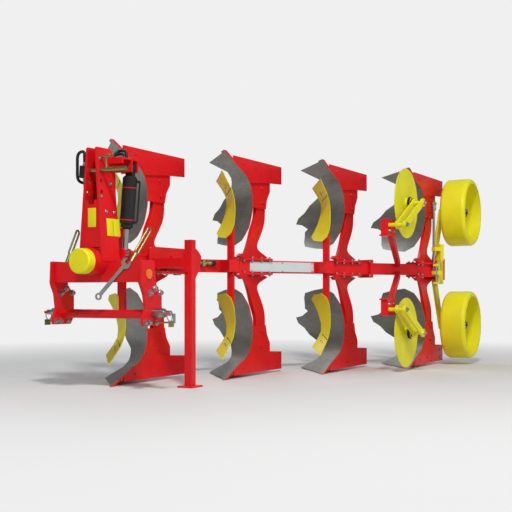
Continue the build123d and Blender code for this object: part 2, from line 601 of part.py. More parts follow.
slot = block(fx - STALK_BACK - STALK_DEEP - FIT, fx - STALK_BACK + FIT,
             fy - STALK_RIGHT - STALK_WIDE - FIT, fy - STALK_RIGHT + FIT, 600, 1200)
nodes["skimmer_holders"] = joined([station(holder - slot, index) for index in range(LAST)])

# ---------------------------------------------------------------- disc coulters on the last body
lx, ly = fx - BODY_STEP_X * LAST, fy + BODY_STEP_Y * LAST
disc_x, disc_y = lx + DISC_AHEAD, ly + DISC_LEFT
DISC_THICK, DISC_HUB_R, DISC_HUB, DISC_AXLE_R = 6.0, 48.0, 45.0, 17.0
ARM_THICK, ARM_HIGH = 16.0, 54.0
PIVOT_AHEAD, PIVOT_Z = 310.0, 530.0      # where both arms hang, ahead of the disc
ARM_OUTER, ARM_INNER = (93.0, 142.0), (27.0, 67.0)    # left of the disc at the pivot, and at its axle
head_x, head_y, head_low, head_high = disc_x + 245, ly - 25, 480.0, 607.0
disc = rod((disc_x, disc_y - DISC_THICK, DISC_Z), (disc_x, disc_y, DISC_Z), DISC_R)
disc += rod((disc_x, disc_y, DISC_Z), (disc_x, disc_y + DISC_HUB, DISC_Z), DISC_HUB_R)
disc -= rod((disc_x, disc_y - 50, DISC_Z), (disc_x, disc_y + 200, DISC_Z), DISC_AXLE_R + RUNNING)
disc_arm = rod((disc_x, disc_y - DISC_THICK - 10, DISC_Z), (disc_x, disc_y + ARM_OUTER[1] + 14, DISC_Z), DISC_AXLE_R)
pivot_x = disc_x + PIVOT_AHEAD
disc_arm += rod((pivot_x, head_y + 30, PIVOT_Z), (pivot_x, disc_y + ARM_OUTER[0] + 16, PIVOT_Z), 16)
for near, far in (ARM_OUTER, ARM_INNER):
    disc_arm += bar((pivot_x + 20, disc_y + near, PIVOT_Z + 16), (disc_x - 18, disc_y + far, DISC_Z - 14),
                    ARM_THICK, ARM_HIGH)
    disc_arm += rod((pivot_x, disc_y + near - 12, PIVOT_Z), (pivot_x, disc_y + near + 12, PIVOT_Z), 32)
    disc_arm += rod((disc_x, disc_y + far - 12, DISC_Z), (disc_x, disc_y + far + 12, DISC_Z), 34)
head = block(head_x - 95, head_x + 95, head_y - 30, head_y + 30, head_low, head_high)
head += block(head_x - 110, head_x + 110, head_y - 38, head_y + 30, head_high, head_high + 14)
grip = beam_at(LAST - 0.38) + BEAM_LEFT * (BEAM / 2)
shank = bar((head_x - 40, head_y, head_high - 20), (grip.X, grip.Y, head_high + 223), 40, 62)
shank -= head
nodes["disc_coulter_lower"] = disc
nodes["disc_coulter_upper"] = mirror(disc, about=MIRROR)
nodes["disc_arms"] = joined(both_ways(disc_arm))
nodes["disc_heads"] = joined(both_ways(head))
shank -= beam_box(LAST - 0.38, 0, 0, 0, 900, BEAM, BEAM)
shank &= block(-4000, 0, -1000, 2000, 0, AXIS_Z - 2)
nodes["disc_shanks"] = joined(both_ways(shank))

# ---------------------------------------------------------------- name plate
plate_from, plate_to = 0.936, 1.613
plate_mid = (plate_from + plate_to) / 2
plate_long = (beam_at(plate_to) - beam_at(plate_from)).length
nodes["name_plate"] = beam_box(plate_mid, 0, BEAM / 2 + 3, 0, plate_long, 6, 80)

# ---------------------------------------------------------------- depth wheels
END_PLATE = 16.0
end_along = BEAM_REAR_END + END_PLATE / 2
end_plate = beam_box(LAST, end_along, 0, 0, END_PLATE, 110, 176)
nodes["beam_end_plate"] = end_plate - nodes["legs"]
bracket_x = beam_rear.X - 142
bracket_in, bracket_out = 1275.0, 1338.0
carrier = block(bracket_x, beam_rear.X + 60, bracket_in, bracket_out, AXIS_Z - 130, AXIS_Z + 130)
carrier -= beam_box(LAST, BEAM_REAR_END + END_PLATE - 500, 0, 0, 1000, 600, 600)
SLOT, SLOT_DEEP = 30.0, 24.0
carrier -= block(bracket_x + 62, bracket_x + 62 + SLOT, bracket_out - SLOT_DEEP, bracket_out + 1,
                 AXIS_Z - 125, AXIS_Z + 62)
spindle_hole = rod((spindle.X, spindle.Y, 500), (spindle.X, spindle.Y, 1600), SPINDLE_R + RUNNING)
carrier += beam_box(LAST, 140, SPINDLE_OUT, 160, 40, 56, 150)
for up in (-28.0, 190.0):
    carrier += beam_box(LAST, 88, SPINDLE_OUT + 8, up, 84, 44, 34)
nodes["wheel_carrier"] = carrier - spindle_hole
ARM, AXLE_R, ARM_GAP = 22.0, 30.0, 10.0
arm_out = bracket_in - 0.5
arms = []
for side, sign in (("lower", -1), ("upper", 1)):
    wz = WHEEL_Z[side]
    y1 = WHEEL_FACE_Y
    y0 = y1 - WHEEL_WIDE
    wheel = rod((WHEEL_X, y0, wz), (WHEEL_X, y1, wz), WHEEL_R)
    wheel = fillet(wheel.edges().filter_by(GeomType.CIRCLE), 32)
    wheel -= rod((WHEEL_X, y1 - WHEEL_DISH, wz), (WHEEL_X, y1 + 1, wz), WHEEL_R - WHEEL_RIM)
    wheel -= rod((WHEEL_X, y0 - 1, wz), (WHEEL_X, y0 + 70, wz), WHEEL_R - WHEEL_RIM)
    wheel += rod((WHEEL_X, y0 + 30, wz), (WHEEL_X, y1 - WHEEL_DISH + 40, wz), 52)
    wheel -= rod((WHEEL_X, y0 - 1, wz), (WHEEL_X, y1 + 1, wz), AXLE_R + RUNNING)
    nodes[f"depth_wheel_{side}"] = wheel
    pivot_z = AXIS_Z + sign * 84
    root = Pos(bracket_x + 46, pivot_z) * Circle(46)
    tip = Pos(WHEEL_X, wz) * Circle(44)
    plane = Plane(origin=(0, arm_out, 0), x_dir=(1, 0, 0), z_dir=(0, -1, 0))
    arm = extrude(plane * make_hull(root.edges() + tip.edges()), ARM)
    arm += rod((WHEEL_X, arm_out - ARM, wz), (WHEEL_X, y1 - WHEEL_DISH + 50, wz), AXLE_R)
    arms.append(arm)
nodes["wheel_arms"] = joined(arms)
nodes["wheel_spindles"] = (
    rod((spindle.X, spindle.Y, AXIS_Z - 60), (spindle.X, spindle.Y, SPINDLE_TOP), SPINDLE_R)
    + rod((spindle.X, spindle.Y, SPINDLE_TOP - 35), (spindle.X, spindle.Y, SPINDLE_TOP + 5), 22)
)

# bolted joints of the main beam, and the adjusting screw on its left face
JOINT_AT, JOINT_PLATE, JOINT_WIDE = (0.825, 2.27), 14.0, 156.0
through_beam = beam_box(1, 0, 0, 0, 9000, BEAM, BEAM)
all_legs = nodes["legs"]
nodes["beam_joint_plates"] = joined([
    beam_box(at, side * (JOINT_PLATE + FIT) / 2, 0, 0, JOINT_PLATE, JOINT_WIDE, JOINT_WIDE) - through_beam - all_legs
    for at in JOINT_AT for side in (-1, 1)
])
SCREW_R = 13.0
screw_out, screw_up = BEAM / 2 + 20, 20.0


def screw_at(at):
    point = beam_at(at) + BEAM_LEFT * screw_out + Vector(0, 0, screw_up)
    return (point.X, point.Y, point.Z)


screw = rod(screw_at(0.34), screw_at(0.50), SCREW_R)
for at in (0.345, 0.46):
    screw += beam_box(at, 0, screw_out, screw_up, 26, 40, 46)
screw += rod(screw_at(0.50), screw_at(0.535), 19)
nodes["width_spindle"] = screw

# ---------------------------------------------------------------- small pieces on the headstock
LOOP_R, LOOP_WIDE, LOOP_LONG, STEM_LONG = 7.0, 34.0, 187.0, 66.0
loops = []
for hand in (-1, 1):
    base = Vector(CROSS_X + 45, hand * 269, CROSS_Z + CROSS_HIGH / 2)
    tilt = Vector(-0.6, hand * 0.12, 0.79).normalized()
    stem = rod(tuple(base - tilt * 20), tuple(base + tilt * STEM_LONG), 13)
    stem -= block(-500, 500, -900, 900, 0, CROSS_Z + CROSS_HIGH / 2)
    half = tilt.cross(Vector(0, 1, 0)).normalized() * (LOOP_WIDE / 2)
    a = base + tilt * (STEM_LONG + LOOP_WIDE / 2)
    b = a + tilt * LOOP_LONG
    path = Wire([
        Line(a - half, b - half), ThreePointArc(b - half, b + tilt * LOOP_WIDE / 2, b + half),
        Line(b + half, a + half), ThreePointArc(a + half, a - tilt * LOOP_WIDE / 2, a - half)])
    ring_plane = Plane(origin=a - half, z_dir=tilt)
    loop = sweep(ring_plane * Circle(LOOP_R), path=path)
    loops.append(stem + loop)
nodes["tilt_spindles"] = joined(loops)

REFLECTOR_X, REFLECTOR_Z, REFLECTOR_R, REFLECTOR_THICK = 62.0, 792.0, 33.0, 8.0
outer = SIDE_PLATE_Y + SIDE_PLATE / 2
reflector = rod((REFLECTOR_X, outer, REFLECTOR_Z), (REFLECTOR_X, outer + REFLECTOR_THICK, REFLECTOR_Z), REFLECTOR_R)
nodes["side_reflectors"] = joined([reflector, mirror(reflector, about=Plane.XZ)])

STRUT_X, STRUT_Y = 3.0, 130.0
strut = block(STRUT_X - 15, STRUT_X + 15, STRUT_Y - 22, STRUT_Y + 22, BAR_Z, CROSS_Z - CROSS_HIGH / 2)
nodes["headstock_strut"] = strut - crossbar

# spanner for the plough bolts, hung on the crossbeam's front face
SPANNER, SPANNER_HEAD_R, SPANNER_RING_R, SPANNER_SHAFT = 10.0, 38.0, 24.0, 26.0
head_at, ring_at = Vector(247, 864), Vector(17, 641)
reach_dir = (ring_at - head_at).normalized()
across = Vector(-reach_dir.Y, reach_dir.X) * (SPANNER_SHAFT / 2)
shaft_face = make_face(Polyline(*[tuple(corner)[:2] for corner in (
    head_at + across, ring_at + across, ring_at - across, head_at - across)], close=True))
spanner_face = shaft_face + Pos(*tuple(head_at)) * Circle(SPANNER_HEAD_R)
spanner_face += Pos(*tuple(ring_at)) * Circle(SPANNER_RING_R)
jaw = Pos(*tuple(head_at - reach_dir * 26)) * Rot(0, 0, 44) * Rectangle(56, 27)
spanner_face = spanner_face - jaw - Pos(*tuple(ring_at)) * Circle(SPANNER_RING_R * 0.58)
spanner_plane = Plane(origin=(CROSS_X + CROSS_DEEP / 2, 0, 0), x_dir=(0, 1, 0), z_dir=(1, 0, 0))
nodes["plough_spanner"] = extrude(spanner_plane * spanner_face, SPANNER)

# ---------------------------------------------------------------- origin at the footprint
whole = Compound(children=[solid for shape in nodes.values() for solid in shape.solids()])
box = whole.bounding_box()
to_origin = Vector(-(box.min.X + box.max.X) / 2, -(box.min.Y + box.max.Y) / 2, -box.min.Z)
print("origin shift", round(to_origin.X, 3), round(to_origin.Y, 3), round(to_origin.Z, 3))

for name, shape in nodes.items():
    moved = Compound(children=[Pos(*to_origin) * solid for solid in shape.solids()])
    export_step(moved, f"parts/{name}.step")
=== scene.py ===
"""Looks for a four-furrow reversible plough: finishes, fasteners, pipes and small hardware."""
import json
import math

import bmesh
import bpy
from mathutils import Matrix, Vector
from mathutils.bvhtree import BVHTree


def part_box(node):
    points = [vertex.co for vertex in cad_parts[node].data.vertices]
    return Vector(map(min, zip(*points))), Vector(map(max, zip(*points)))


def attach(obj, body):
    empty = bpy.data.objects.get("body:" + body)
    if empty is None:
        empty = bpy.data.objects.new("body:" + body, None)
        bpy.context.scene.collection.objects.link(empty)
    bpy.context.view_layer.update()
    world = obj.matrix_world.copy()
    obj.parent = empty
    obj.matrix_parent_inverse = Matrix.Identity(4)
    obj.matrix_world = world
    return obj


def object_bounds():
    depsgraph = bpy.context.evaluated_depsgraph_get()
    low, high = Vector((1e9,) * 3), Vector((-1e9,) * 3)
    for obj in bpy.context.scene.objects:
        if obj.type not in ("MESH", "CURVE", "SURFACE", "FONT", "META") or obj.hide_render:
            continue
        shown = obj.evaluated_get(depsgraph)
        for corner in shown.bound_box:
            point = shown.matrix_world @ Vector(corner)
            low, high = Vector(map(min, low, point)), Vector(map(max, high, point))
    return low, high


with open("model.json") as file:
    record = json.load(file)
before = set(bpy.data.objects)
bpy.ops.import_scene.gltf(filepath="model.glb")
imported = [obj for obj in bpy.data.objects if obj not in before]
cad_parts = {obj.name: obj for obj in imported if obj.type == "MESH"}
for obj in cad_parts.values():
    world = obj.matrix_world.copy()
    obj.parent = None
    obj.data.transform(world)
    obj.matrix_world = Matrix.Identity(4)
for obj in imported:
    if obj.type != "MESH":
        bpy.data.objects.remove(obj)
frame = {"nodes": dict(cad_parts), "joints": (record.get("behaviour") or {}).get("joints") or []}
cad_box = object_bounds()
nodes = frame["nodes"]
scene = bpy.context.scene
scene.view_settings.view_transform = "Standard"

# ------------------------------------------------------------------ places taken from the frame
joints = {joint["name"]: joint for joint in frame["joints"]}
AXIS = Vector(joints["turnover"]["pos_m"])          # turnover axis above the lower link pins
LINK = Vector((AXIS.x, AXIS.y, 0.0))                # floor point between the lower link pins


def spot(x, y, z):
    """A place measured from the floor point between the lower link pins, in metres."""
    return LINK + Vector((x, y, z))


# ------------------------------------------------------------------ node tree helpers
def add(tree, kind, settings=None, **inputs):
    """A node in a tree: settings are its properties; inputs are values or sockets, by name or as i0, i1, ..."""
    node = tree.nodes.new(kind)
    for key, value in (settings or {}).items():
        setattr(node, key, value)
    for key, value in inputs.items():
        numbered = key[0] == "i" and key[1:].isdigit()
        socket = node.inputs[int(key[1:]) if numbered else key.replace("_", " ")]
        if isinstance(value, bpy.types.NodeSocket):
            tree.links.new(value, socket)
        else:
            socket.default_value = value
    return node


def new_group(name, inputs, outputs, kind="ShaderNodeTree"):
    tree = bpy.data.node_groups.new(name, kind)
    for label, socket_type, value in inputs:
        socket = tree.interface.new_socket(name=label, in_out="INPUT", socket_type=socket_type)
        if value is not None:
            socket.default_value = value
    for label, socket_type in outputs:
        tree.interface.new_socket(name=label, in_out="OUTPUT", socket_type=socket_type)
    return tree, tree.nodes.new("NodeGroupInput"), tree.nodes.new("NodeGroupOutput")


FLOAT, VECTOR = "NodeSocketFloat", "NodeSocketVector"


def math_node(tree, operation, a, b, clamp=False):
    return add(tree, "ShaderNodeMath", {"operation": operation, "use_clamp": clamp}, i0=a, i1=b).outputs[0]


def remap(tree, value, low, high, to_low=0.0, to_high=1.0):
    node = add(tree, "ShaderNodeMapRange", None, Value=value, From_Min=low, From_Max=high,
               To_Min=to_low, To_Max=to_high)
    return node.outputs[0]


def noise(tree, vector, scale, detail=3.0, roughness=0.5):
    node = add(tree, "ShaderNodeTexNoise", None, Vector=vector, Scale=scale, Detail=detail, Roughness=roughness)
    return node.outputs["Fac"]


def own_normal(tree, kind="True Normal"):
    """The surface's normal in the piece's own space, so that a turned plough keeps its looks."""
    normal = add(tree, "ShaderNodeNewGeometry").outputs[kind]
    return add(tree, "ShaderNodeVectorTransform", {"vector_type": "NORMAL", "convert_from": "WORLD",
                                                   "convert_to": "OBJECT"}, Vector=normal).outputs[0]


# ------------------------------------------------------------------ shared surface effects
def edge_wear_group():
    """Rounds the shading at edges and masks where paint is rubbed off them."""
    tree, gin, gout = new_group(
        "Edge Wear", [("Radius", FLOAT, 0.003), ("Patch Scale", FLOAT, 14.0), ("Amount", FLOAT, 0.5)],
        [("Mask", FLOAT), ("Normal", VECTOR)])
    place = add(tree, "ShaderNodeTexCoord").outputs["Object"]
    bevel = add(tree, "ShaderNodeBevel", {"samples": 6}, Radius=gin.outputs["Radius"])
    flat = add(tree, "ShaderNodeNewGeometry").outputs["True Normal"]
    dot = add(tree, "ShaderNodeVectorMath", {"operation": "DOT_PRODUCT"}, i0=bevel.outputs[0], i1=flat)
    edge = remap(tree, dot.outputs["Value"], 0.995, 0.86)
    patch = noise(tree, place, gin.outputs["Patch Scale"], 5.0, 0.62)
    chip = remap(tree, patch, 0.52, 0.60)
    mask = math_node(tree, "MULTIPLY", math_node(tree, "MULTIPLY", edge, chip), gin.outputs["Amount"], True)
    tree.links.new(mask, gout.inputs["Mask"])
    tree.links.new(bevel.outputs[0], gout.inputs["Normal"])
    return tree


def dust_group():
    """Dry soil: heavier low down, on upward faces and in blotches."""
    tree, gin, gout = new_group(
        "Soil Dust", [("Top Height", FLOAT, 1.2), ("Scale", FLOAT, 6.0), ("Amount", FLOAT, 0.3)],
        [("Mask", FLOAT)])
    place = add(tree, "ShaderNodeTexCoord").outputs["Object"]
    up = add(tree, "ShaderNodeSeparateXYZ", None, i0=own_normal(tree, "Normal"))
    high = add(tree, "ShaderNodeSeparateXYZ", None, i0=place)
    low = math_node(tree, "DIVIDE", high.outputs["Z"], gin.outputs["Top Height"])
    low = remap(tree, low, 0.0, 1.0, 1.0, 0.15)
    lying = remap(tree, up.outputs["Z"], -0.2, 0.9, 0.35, 1.0)
    cloud = remap(tree, noise(tree, place, gin.outputs["Scale"], 6.0, 0.6), 0.40, 0.72)
    mask = math_node(tree, "MULTIPLY", math_node(tree, "MULTIPLY", low, lying), cloud)
    tree.links.new(math_node(tree, "MULTIPLY", mask, gin.outputs["Amount"], True), gout.inputs["Mask"])
    return tree


def scour_group():
    """Long scratches along the way the soil slides, turned about the upright."""
    tree, gin, gout = new_group(
        "Scour Marks", [("Turn", FLOAT, 0.6), ("Fineness", FLOAT, 90.0), ("Length", FLOAT, 0.03)],
        [("Streak", FLOAT), ("Broad", FLOAT)])
    place = add(tree, "ShaderNodeTexCoord").outputs["Object"]
    angle = add(tree, "ShaderNodeCombineXYZ", None, Z=gin.outputs["Turn"])
    stretch = add(tree, "ShaderNodeCombineXYZ", None, X=gin.outputs["Length"], Y=1.0, Z=1.0)
    turned = add(tree, "ShaderNodeMapping", {"vector_type": "TEXTURE"}, Vector=place,
                 Rotation=angle.outputs[0])
    lengthened = add(tree, "ShaderNodeVectorMath", {"operation": "MULTIPLY"}, i0=turned.outputs[0],
                     i1=stretch.outputs[0])
    fine = noise(tree, lengthened.outputs[0], gin.outputs["Fineness"], 4.0, 0.7)
    broad = noise(tree, lengthened.outputs[0], math_node(tree, "MULTIPLY", gin.outputs["Fineness"], 0.12), 3.0)
    tree.links.new(fine, gout.inputs["Streak"])
    tree.links.new(broad, gout.inputs["Broad"])
    return tree


def peel_group():
    """Fine unevenness of a sprayed coat over rolled plate."""
    tree, gin, gout = new_group("Coat Texture", [("Scale", FLOAT, 220.0)], [("Height", FLOAT), ("Cloud", FLOAT)])
    place = add(tree, "ShaderNodeTexCoord").outputs["Object"]
    fine = noise(tree, place, gin.outputs["Scale"], 2.0)
    cloud = noise(tree, place, math_node(tree, "MULTIPLY", gin.outputs["Scale"], 0.02), 4.0)
    tree.links.new(fine, gout.inputs["Height"])
    tree.links.new(cloud, gout.inputs["Cloud"])
    return tree


EDGE_WEAR, SOIL_DUST = edge_wear_group(), dust_group()
SCOUR, COAT = scour_group(), peel_group()


def use(tree, group, **inputs):
    """A shared effect placed in a material with its own values."""
    return add(tree, "ShaderNodeGroup", {"node_tree": group}, **inputs).outputs


def blend_colour(tree, factor, a, b):
    a, b = (value if isinstance(value, bpy.types.NodeSocket) else (*value, 1.0) for value in (a, b))
    return add(tree, "ShaderNodeMix", {"data_type": "RGBA"}, i0=factor, i6=a, i7=b).outputs[2]


def blend_value(tree, factor, a, b):
    return add(tree, "ShaderNodeMix", {"data_type": "FLOAT"}, i0=factor, i2=a, i3=b).outputs[0]


def new_material(name):
    material = bpy.data.materials.new(name)
    material.use_nodes = True
    tree = material.node_tree
    return material, tree, tree.nodes["Principled BSDF"]


DUST_COLOUR = (0.23, 0.165, 0.105)


def enamel(name, colour, shade, primer=(0.09, 0.075, 0.07), roughness=0.36, wear=0.25, dust=0.08, coat=0.06,
           radius=0.0025):
    """Sprayed machine enamel, rubbed at its edges and lightly dusty low down."""
    material, tree, surface = new_material(name)
    edge = use(tree, EDGE_WEAR, Radius=radius, Patch_Scale=16.0, Amount=wear)
    texture = use(tree, COAT, Scale=240.0)
    soil = use(tree, SOIL_DUST, Top_Height=1.3, Scale=7.0, Amount=dust)
    tone = remap(tree, texture["Cloud"], 0.35, 0.68)
    base = blend_colour(tree, tone, shade, colour)
    base = blend_colour(tree, edge["Mask"], base, primer)
    base = blend_colour(tree, soil["Mask"], base, DUST_COLOUR)
    tree.links.new(base, surface.inputs["Base Color"])
    gloss = remap(tree, texture["Cloud"], 0.3, 0.7, roughness + 0.08, roughness - 0.04)
    gloss = blend_value(tree, edge["Mask"], gloss, 0.45)
    gloss = blend_value(tree, soil["Mask"], gloss, 0.9)
    tree.links.new(gloss, surface.inputs["Roughness"])
    metal = blend_value(tree, edge["Mask"], 0.0, 0.6)
    tree.links.new(metal, surface.inputs["Metallic"])
    bump = add(tree, "ShaderNodeBump", None, Strength=0.08, Distance=0.0006, Height=texture["Height"],
               Normal=edge["Normal"])
    tree.links.new(bump.outputs[0], surface.inputs["Normal"])
    surface.inputs["Specular IOR Level"].default_value = 0.25
    surface.inputs["Coat Weight"].default_value = coat
    surface.inputs["Coat Roughness"].default_value = 0.12
    return material


SOIL_SIDE = Vector((0.60, -0.80, 0.0))      # the way the lower boards' working faces look


def scoured_steel(name, colour, dark, back, back_shade, turn=0.62, roughness=0.38):
    """Hardened plate polished by soil on its working face, with enamel left on its back and edges."""
    material, tree, surface = new_material(name)
    marks = use(tree, SCOUR, Turn=turn, Fineness=120.0, Length=0.035)
    edge = use(tree, EDGE_WEAR, Radius=0.002, Patch_Scale=9.0, Amount=0.35)
    texture = use(tree, COAT, Scale=160.0)
    soil = use(tree, SOIL_DUST, Top_Height=1.9, Scale=5.0, Amount=0.10)
    base = blend_colour(tree, remap(tree, marks["Broad"], 0.36, 0.66), dark, colour)
    base = blend_colour(tree, remap(tree, texture["Cloud"], 0.56, 0.74, 0.0, 0.35), base, (0.085, 0.10, 0.13))
    base = blend_colour(tree, soil["Mask"], base, (0.17, 0.105, 0.06))
    facing = add(tree, "ShaderNodeVectorMath", {"operation": "DOT_PRODUCT"},
                 i0=own_normal(tree), i1=SOIL_SIDE)
    worked = remap(tree, facing.outputs["Value"], 0.10, 0.16)
    paint = blend_colour(tree, remap(tree, texture["Cloud"], 0.35, 0.68), back_shade, back)
    paint = blend_colour(tree, edge["Mask"], paint, (0.30, 0.29, 0.27))
    tree.links.new(blend_colour(tree, worked, paint, base), surface.inputs["Base Color"])
    gloss = remap(tree, marks["Streak"], 0.3, 0.72, roughness - 0.06, roughness + 0.16)
    gloss = blend_value(tree, soil["Mask"], gloss, 0.8)
    tree.links.new(blend_value(tree, worked, 0.50, gloss), surface.inputs["Roughness"])
    metal = blend_value(tree, soil["Mask"], 0.45, 0.1)
    tree.links.new(blend_value(tree, worked, 0.0, metal), surface.inputs["Metallic"])
    height = blend_value(tree, worked, texture["Height"], marks["Streak"])
    bump = add(tree, "ShaderNodeBump", None, Strength=0.12, Distance=0.0006, Height=height,
               Normal=edge["Normal"])
    tree.links.new(bump.outputs[0], surface.inputs["Normal"])
    return material


def plated_steel(name, colour, tint, roughness=0.30, metallic=1.0, dust=0.08):
    """Zinc-plated or ground steel hardware."""
    material, tree, surface = new_material(name)
    edge = use(tree, EDGE_WEAR, Radius=0.0012, Patch_Scale=40.0, Amount=0.35)
    texture = use(tree, COAT, Scale=420.0)
    soil = use(tree, SOIL_DUST, Top_Height=1.6, Scale=14.0, Amount=dust)
    base = blend_colour(tree, remap(tree, texture["Cloud"], 0.34, 0.66), colour, tint)
    base = blend_colour(tree, soil["Mask"], base, DUST_COLOUR)
    tree.links.new(base, surface.inputs["Base Color"])
    gloss = remap(tree, texture["Height"], 0.3, 0.7, roughness - 0.06, roughness + 0.1)
    tree.links.new(blend_value(tree, soil["Mask"], gloss, 0.85), surface.inputs["Roughness"])
    tree.links.new(blend_value(tree, soil["Mask"], metallic, 0.1), surface.inputs["Metallic"])
    bump = add(tree, "ShaderNodeBump", None, Strength=0.12, Distance=0.0004, Height=texture["Height"],
               Normal=edge["Normal"])
    tree.links.new(bump.outputs[0], surface.inputs["Normal"])
    return material


RED, RED_SHADE = (0.76, 0.008, 0.012), (0.66, 0.006, 0.010)
MATERIALS = {
    "red_paint": enamel("red_enamel", RED, RED_SHADE),
    "yellow_paint": enamel("yellow_enamel", (0.83, 0.76, 0.012), (0.74, 0.68, 0.012), roughness=0.42),
    "bare_steel": scoured_steel("scoured_steel", (0.195, 0.19, 0.155), (0.14, 0.14, 0.112), RED, RED_SHADE),
    "bright_steel": plated_steel("bright_zinc", (0.47, 0.48, 0.48), (0.36, 0.385, 0.40)),
    "olive_zinc": plated_steel("olive_zinc", (0.36, 0.34, 0.13), (0.25, 0.28, 0.13), roughness=0.36),
    "black_paint": enamel("black_enamel", (0.018, 0.018, 0.019), (0.012, 0.012, 0.013), primer=(0.2, 0.19, 0.18),
                          roughness=0.42, dust=0.06),
    "pale_plate": enamel("pale_plate", (0.60, 0.66, 0.66), (0.54, 0.60, 0.60), primer=(0.3, 0.3, 0.3),
                         roughness=0.4, wear=0.2, dust=0.08, radius=0.0012),
    "reflector_orange": enamel("reflector_orange", (0.85, 0.22, 0.02), (0.75, 0.16, 0.015), roughness=0.15,
                               wear=0.0, dust=0.05, coat=0.8, radius=0.001),
}
for node in nodes.values():
    for material_slot in node.material_slots:
        material_slot.material = MATERIALS[material_slot.material.name.split(".")[0]]
for material_slot in nodes["tail_strips"].material_slots:       # scoured in front, enamelled behind
    material_slot.material = MATERIALS["bare_steel"]


# ------------------------------------------------------------------ finding the surface
def solid_tree(*names):
    """A search tree over one or more CAD nodes, to land small parts on them."""
    points, faces = [], []
    for name in names:
        mesh = nodes[name].data
        start = len(points)
        points.extend(vertex.co.copy() for vertex in mesh.vertices)
        faces.extend([start + index for index in polygon.vertices] for polygon in mesh.polygons)
    return BVHTree.FromPolygons(points, faces)


def land(tree, start, direction):
    """Where a line from start first meets a surface, and the surface's outward normal."""
    direction = Vector(direction).normalized()
    point, normal, _, _ = tree.ray_cast(Vector(start), direction)
    if point is None:
        return None
    return point, normal if normal.dot(direction) < 0 else -normal


# ------------------------------------------------------------------ fasteners
WASHER = 0.14                               # a washer's thickness, in half widths of its head
SIXTH_TURN = 1.047                          # a hexagon looks the same after it


def fastener_tree():
    """Instances a hexagon head on a washer at each point of a mesh, facing as the point says."""
    tree, gin, gout = new_group(
        "Fasteners",
        [("Geometry", "NodeSocketGeometry", None), ("Head Height", FLOAT, 0.62), ("Washer Width", FLOAT, 1.25),
         ("Stud Length", FLOAT, 0.0), ("Finish", "NodeSocketMaterial", None)],
        [("Geometry", "NodeSocketGeometry")], "GeometryNodeTree")

    def named(label, kind):
        return add(tree, "GeometryNodeInputNamedAttribute", {"data_type": kind}, Name=label).outputs[0]

    def shifted(mesh, height):
        offset = add(tree, "ShaderNodeCombineXYZ", None, Z=height)
        return add(tree, "GeometryNodeTransform", None, Geometry=mesh, Translation=offset.outputs[0]).outputs[0]

    washer = add(tree, "GeometryNodeMeshCylinder", None, Vertices=20, Radius=gin.outputs["Washer Width"],
                 Depth=WASHER)
    washer = shifted(washer.outputs["Mesh"], WASHER / 2)
    head_low = add(tree, "GeometryNodeMeshCylinder", None, Vertices=6, Radius=1.0, Depth=0.5)
    head_low = add(tree, "GeometryNodeTransform", None, Geometry=head_low.outputs["Mesh"])
    tall = add(tree, "ShaderNodeCombineXYZ", None, X=1.0, Y=1.0, Z=gin.outputs["Head Height"])
    tree.links.new(tall.outputs[0], head_low.inputs["Scale"])
    half = math_node(tree, "MULTIPLY", gin.outputs["Head Height"], 0.25)
    head_low = shifted(head_low.outputs[0], math_node(tree, "ADD", half, WASHER))
    crown = add(tree, "GeometryNodeMeshCone", None, Vertices=18, Radius_Top=0.62, Radius_Bottom=0.9, Depth=0.1)
    top = math_node(tree, "ADD", math_node(tree, "MULTIPLY", gin.outputs["Head Height"], 0.5), WASHER - 0.002)
    crown = shifted(crown.outputs["Mesh"], top)
    stud = add(tree, "GeometryNodeMeshCylinder", None, Vertices=14, Radius=0.5, Depth=gin.outputs["Stud Length"])
    rise = math_node(tree, "ADD", top, math_node(tree, "MULTIPLY", gin.outputs["Stud Length"], 0.5))
    stud = shifted(stud.outputs["Mesh"], rise)
    joined = add(tree, "GeometryNodeJoinGeometry")
    for piece in (washer, head_low, crown, stud):
        tree.links.new(piece, joined.inputs[0])
    turn = add(tree, "FunctionNodeAlignRotationToVector", {"axis": "Z"}, Vector=named("facing", "FLOAT_VECTOR"))
    spin = add(tree, "FunctionNodeRandomValue", {"data_type": "FLOAT"}, i2=0.0, i3=SIXTH_TURN, Seed=7)
    spun = add(tree, "FunctionNodeAxisAngleToRotation", None, Axis=(0.0, 0.0, 1.0), Angle=spin.outputs[1])
    turned = add(tree, "FunctionNodeRotateRotation", {"rotation_space": "LOCAL"}, Rotation=turn.outputs[0],
                 Rotate_By=spun.outputs[0])
    placed = add(tree, "GeometryNodeInstanceOnPoints", None, Points=gin.outputs["Geometry"],
                 Instance=joined.outputs[0], Rotation=turned.outputs[0], Scale=named("half_width", "FLOAT"))
    real = add(tree, "GeometryNodeRealizeInstances", None, Geometry=placed.outputs[0])
    finish = add(tree, "GeometryNodeSetMaterial", None, Geometry=real.outputs[0], Material=gin.outputs["Finish"])
    tree.links.new(finish.outputs[0], gout.inputs[0])
    return tree


FASTENERS = fastener_tree()


def set_inputs(modifier, **values):
    """Modifier inputs by label, through their identifiers."""
    labels = {item.name: item.identifier for item in modifier.node_group.interface.items_tree
              if item.in_out == "INPUT"}
    for label, value in values.items():
        modifier[labels[label.replace("_", " ")]] = value


def plain_mesh(name, obj):
    """A plain object with the evaluated mesh of another, which is then removed."""
    bpy.context.view_layer.update()
    graph = bpy.context.evaluated_depsgraph_get()
    mesh = bpy.data.meshes.new_from_object(obj.evaluated_get(graph), preserve_all_data_layers=True, depsgraph=graph)
    mesh.name = name
    for label in [attribute.name for attribute in mesh.attributes if attribute.name in ("facing", "half_width")]:
        mesh.attributes.remove(mesh.attributes[label])
    bpy.data.objects.remove(obj)
    piece = bpy.data.objects.new(name, mesh)
    scene.collection.objects.link(piece)
    return piece


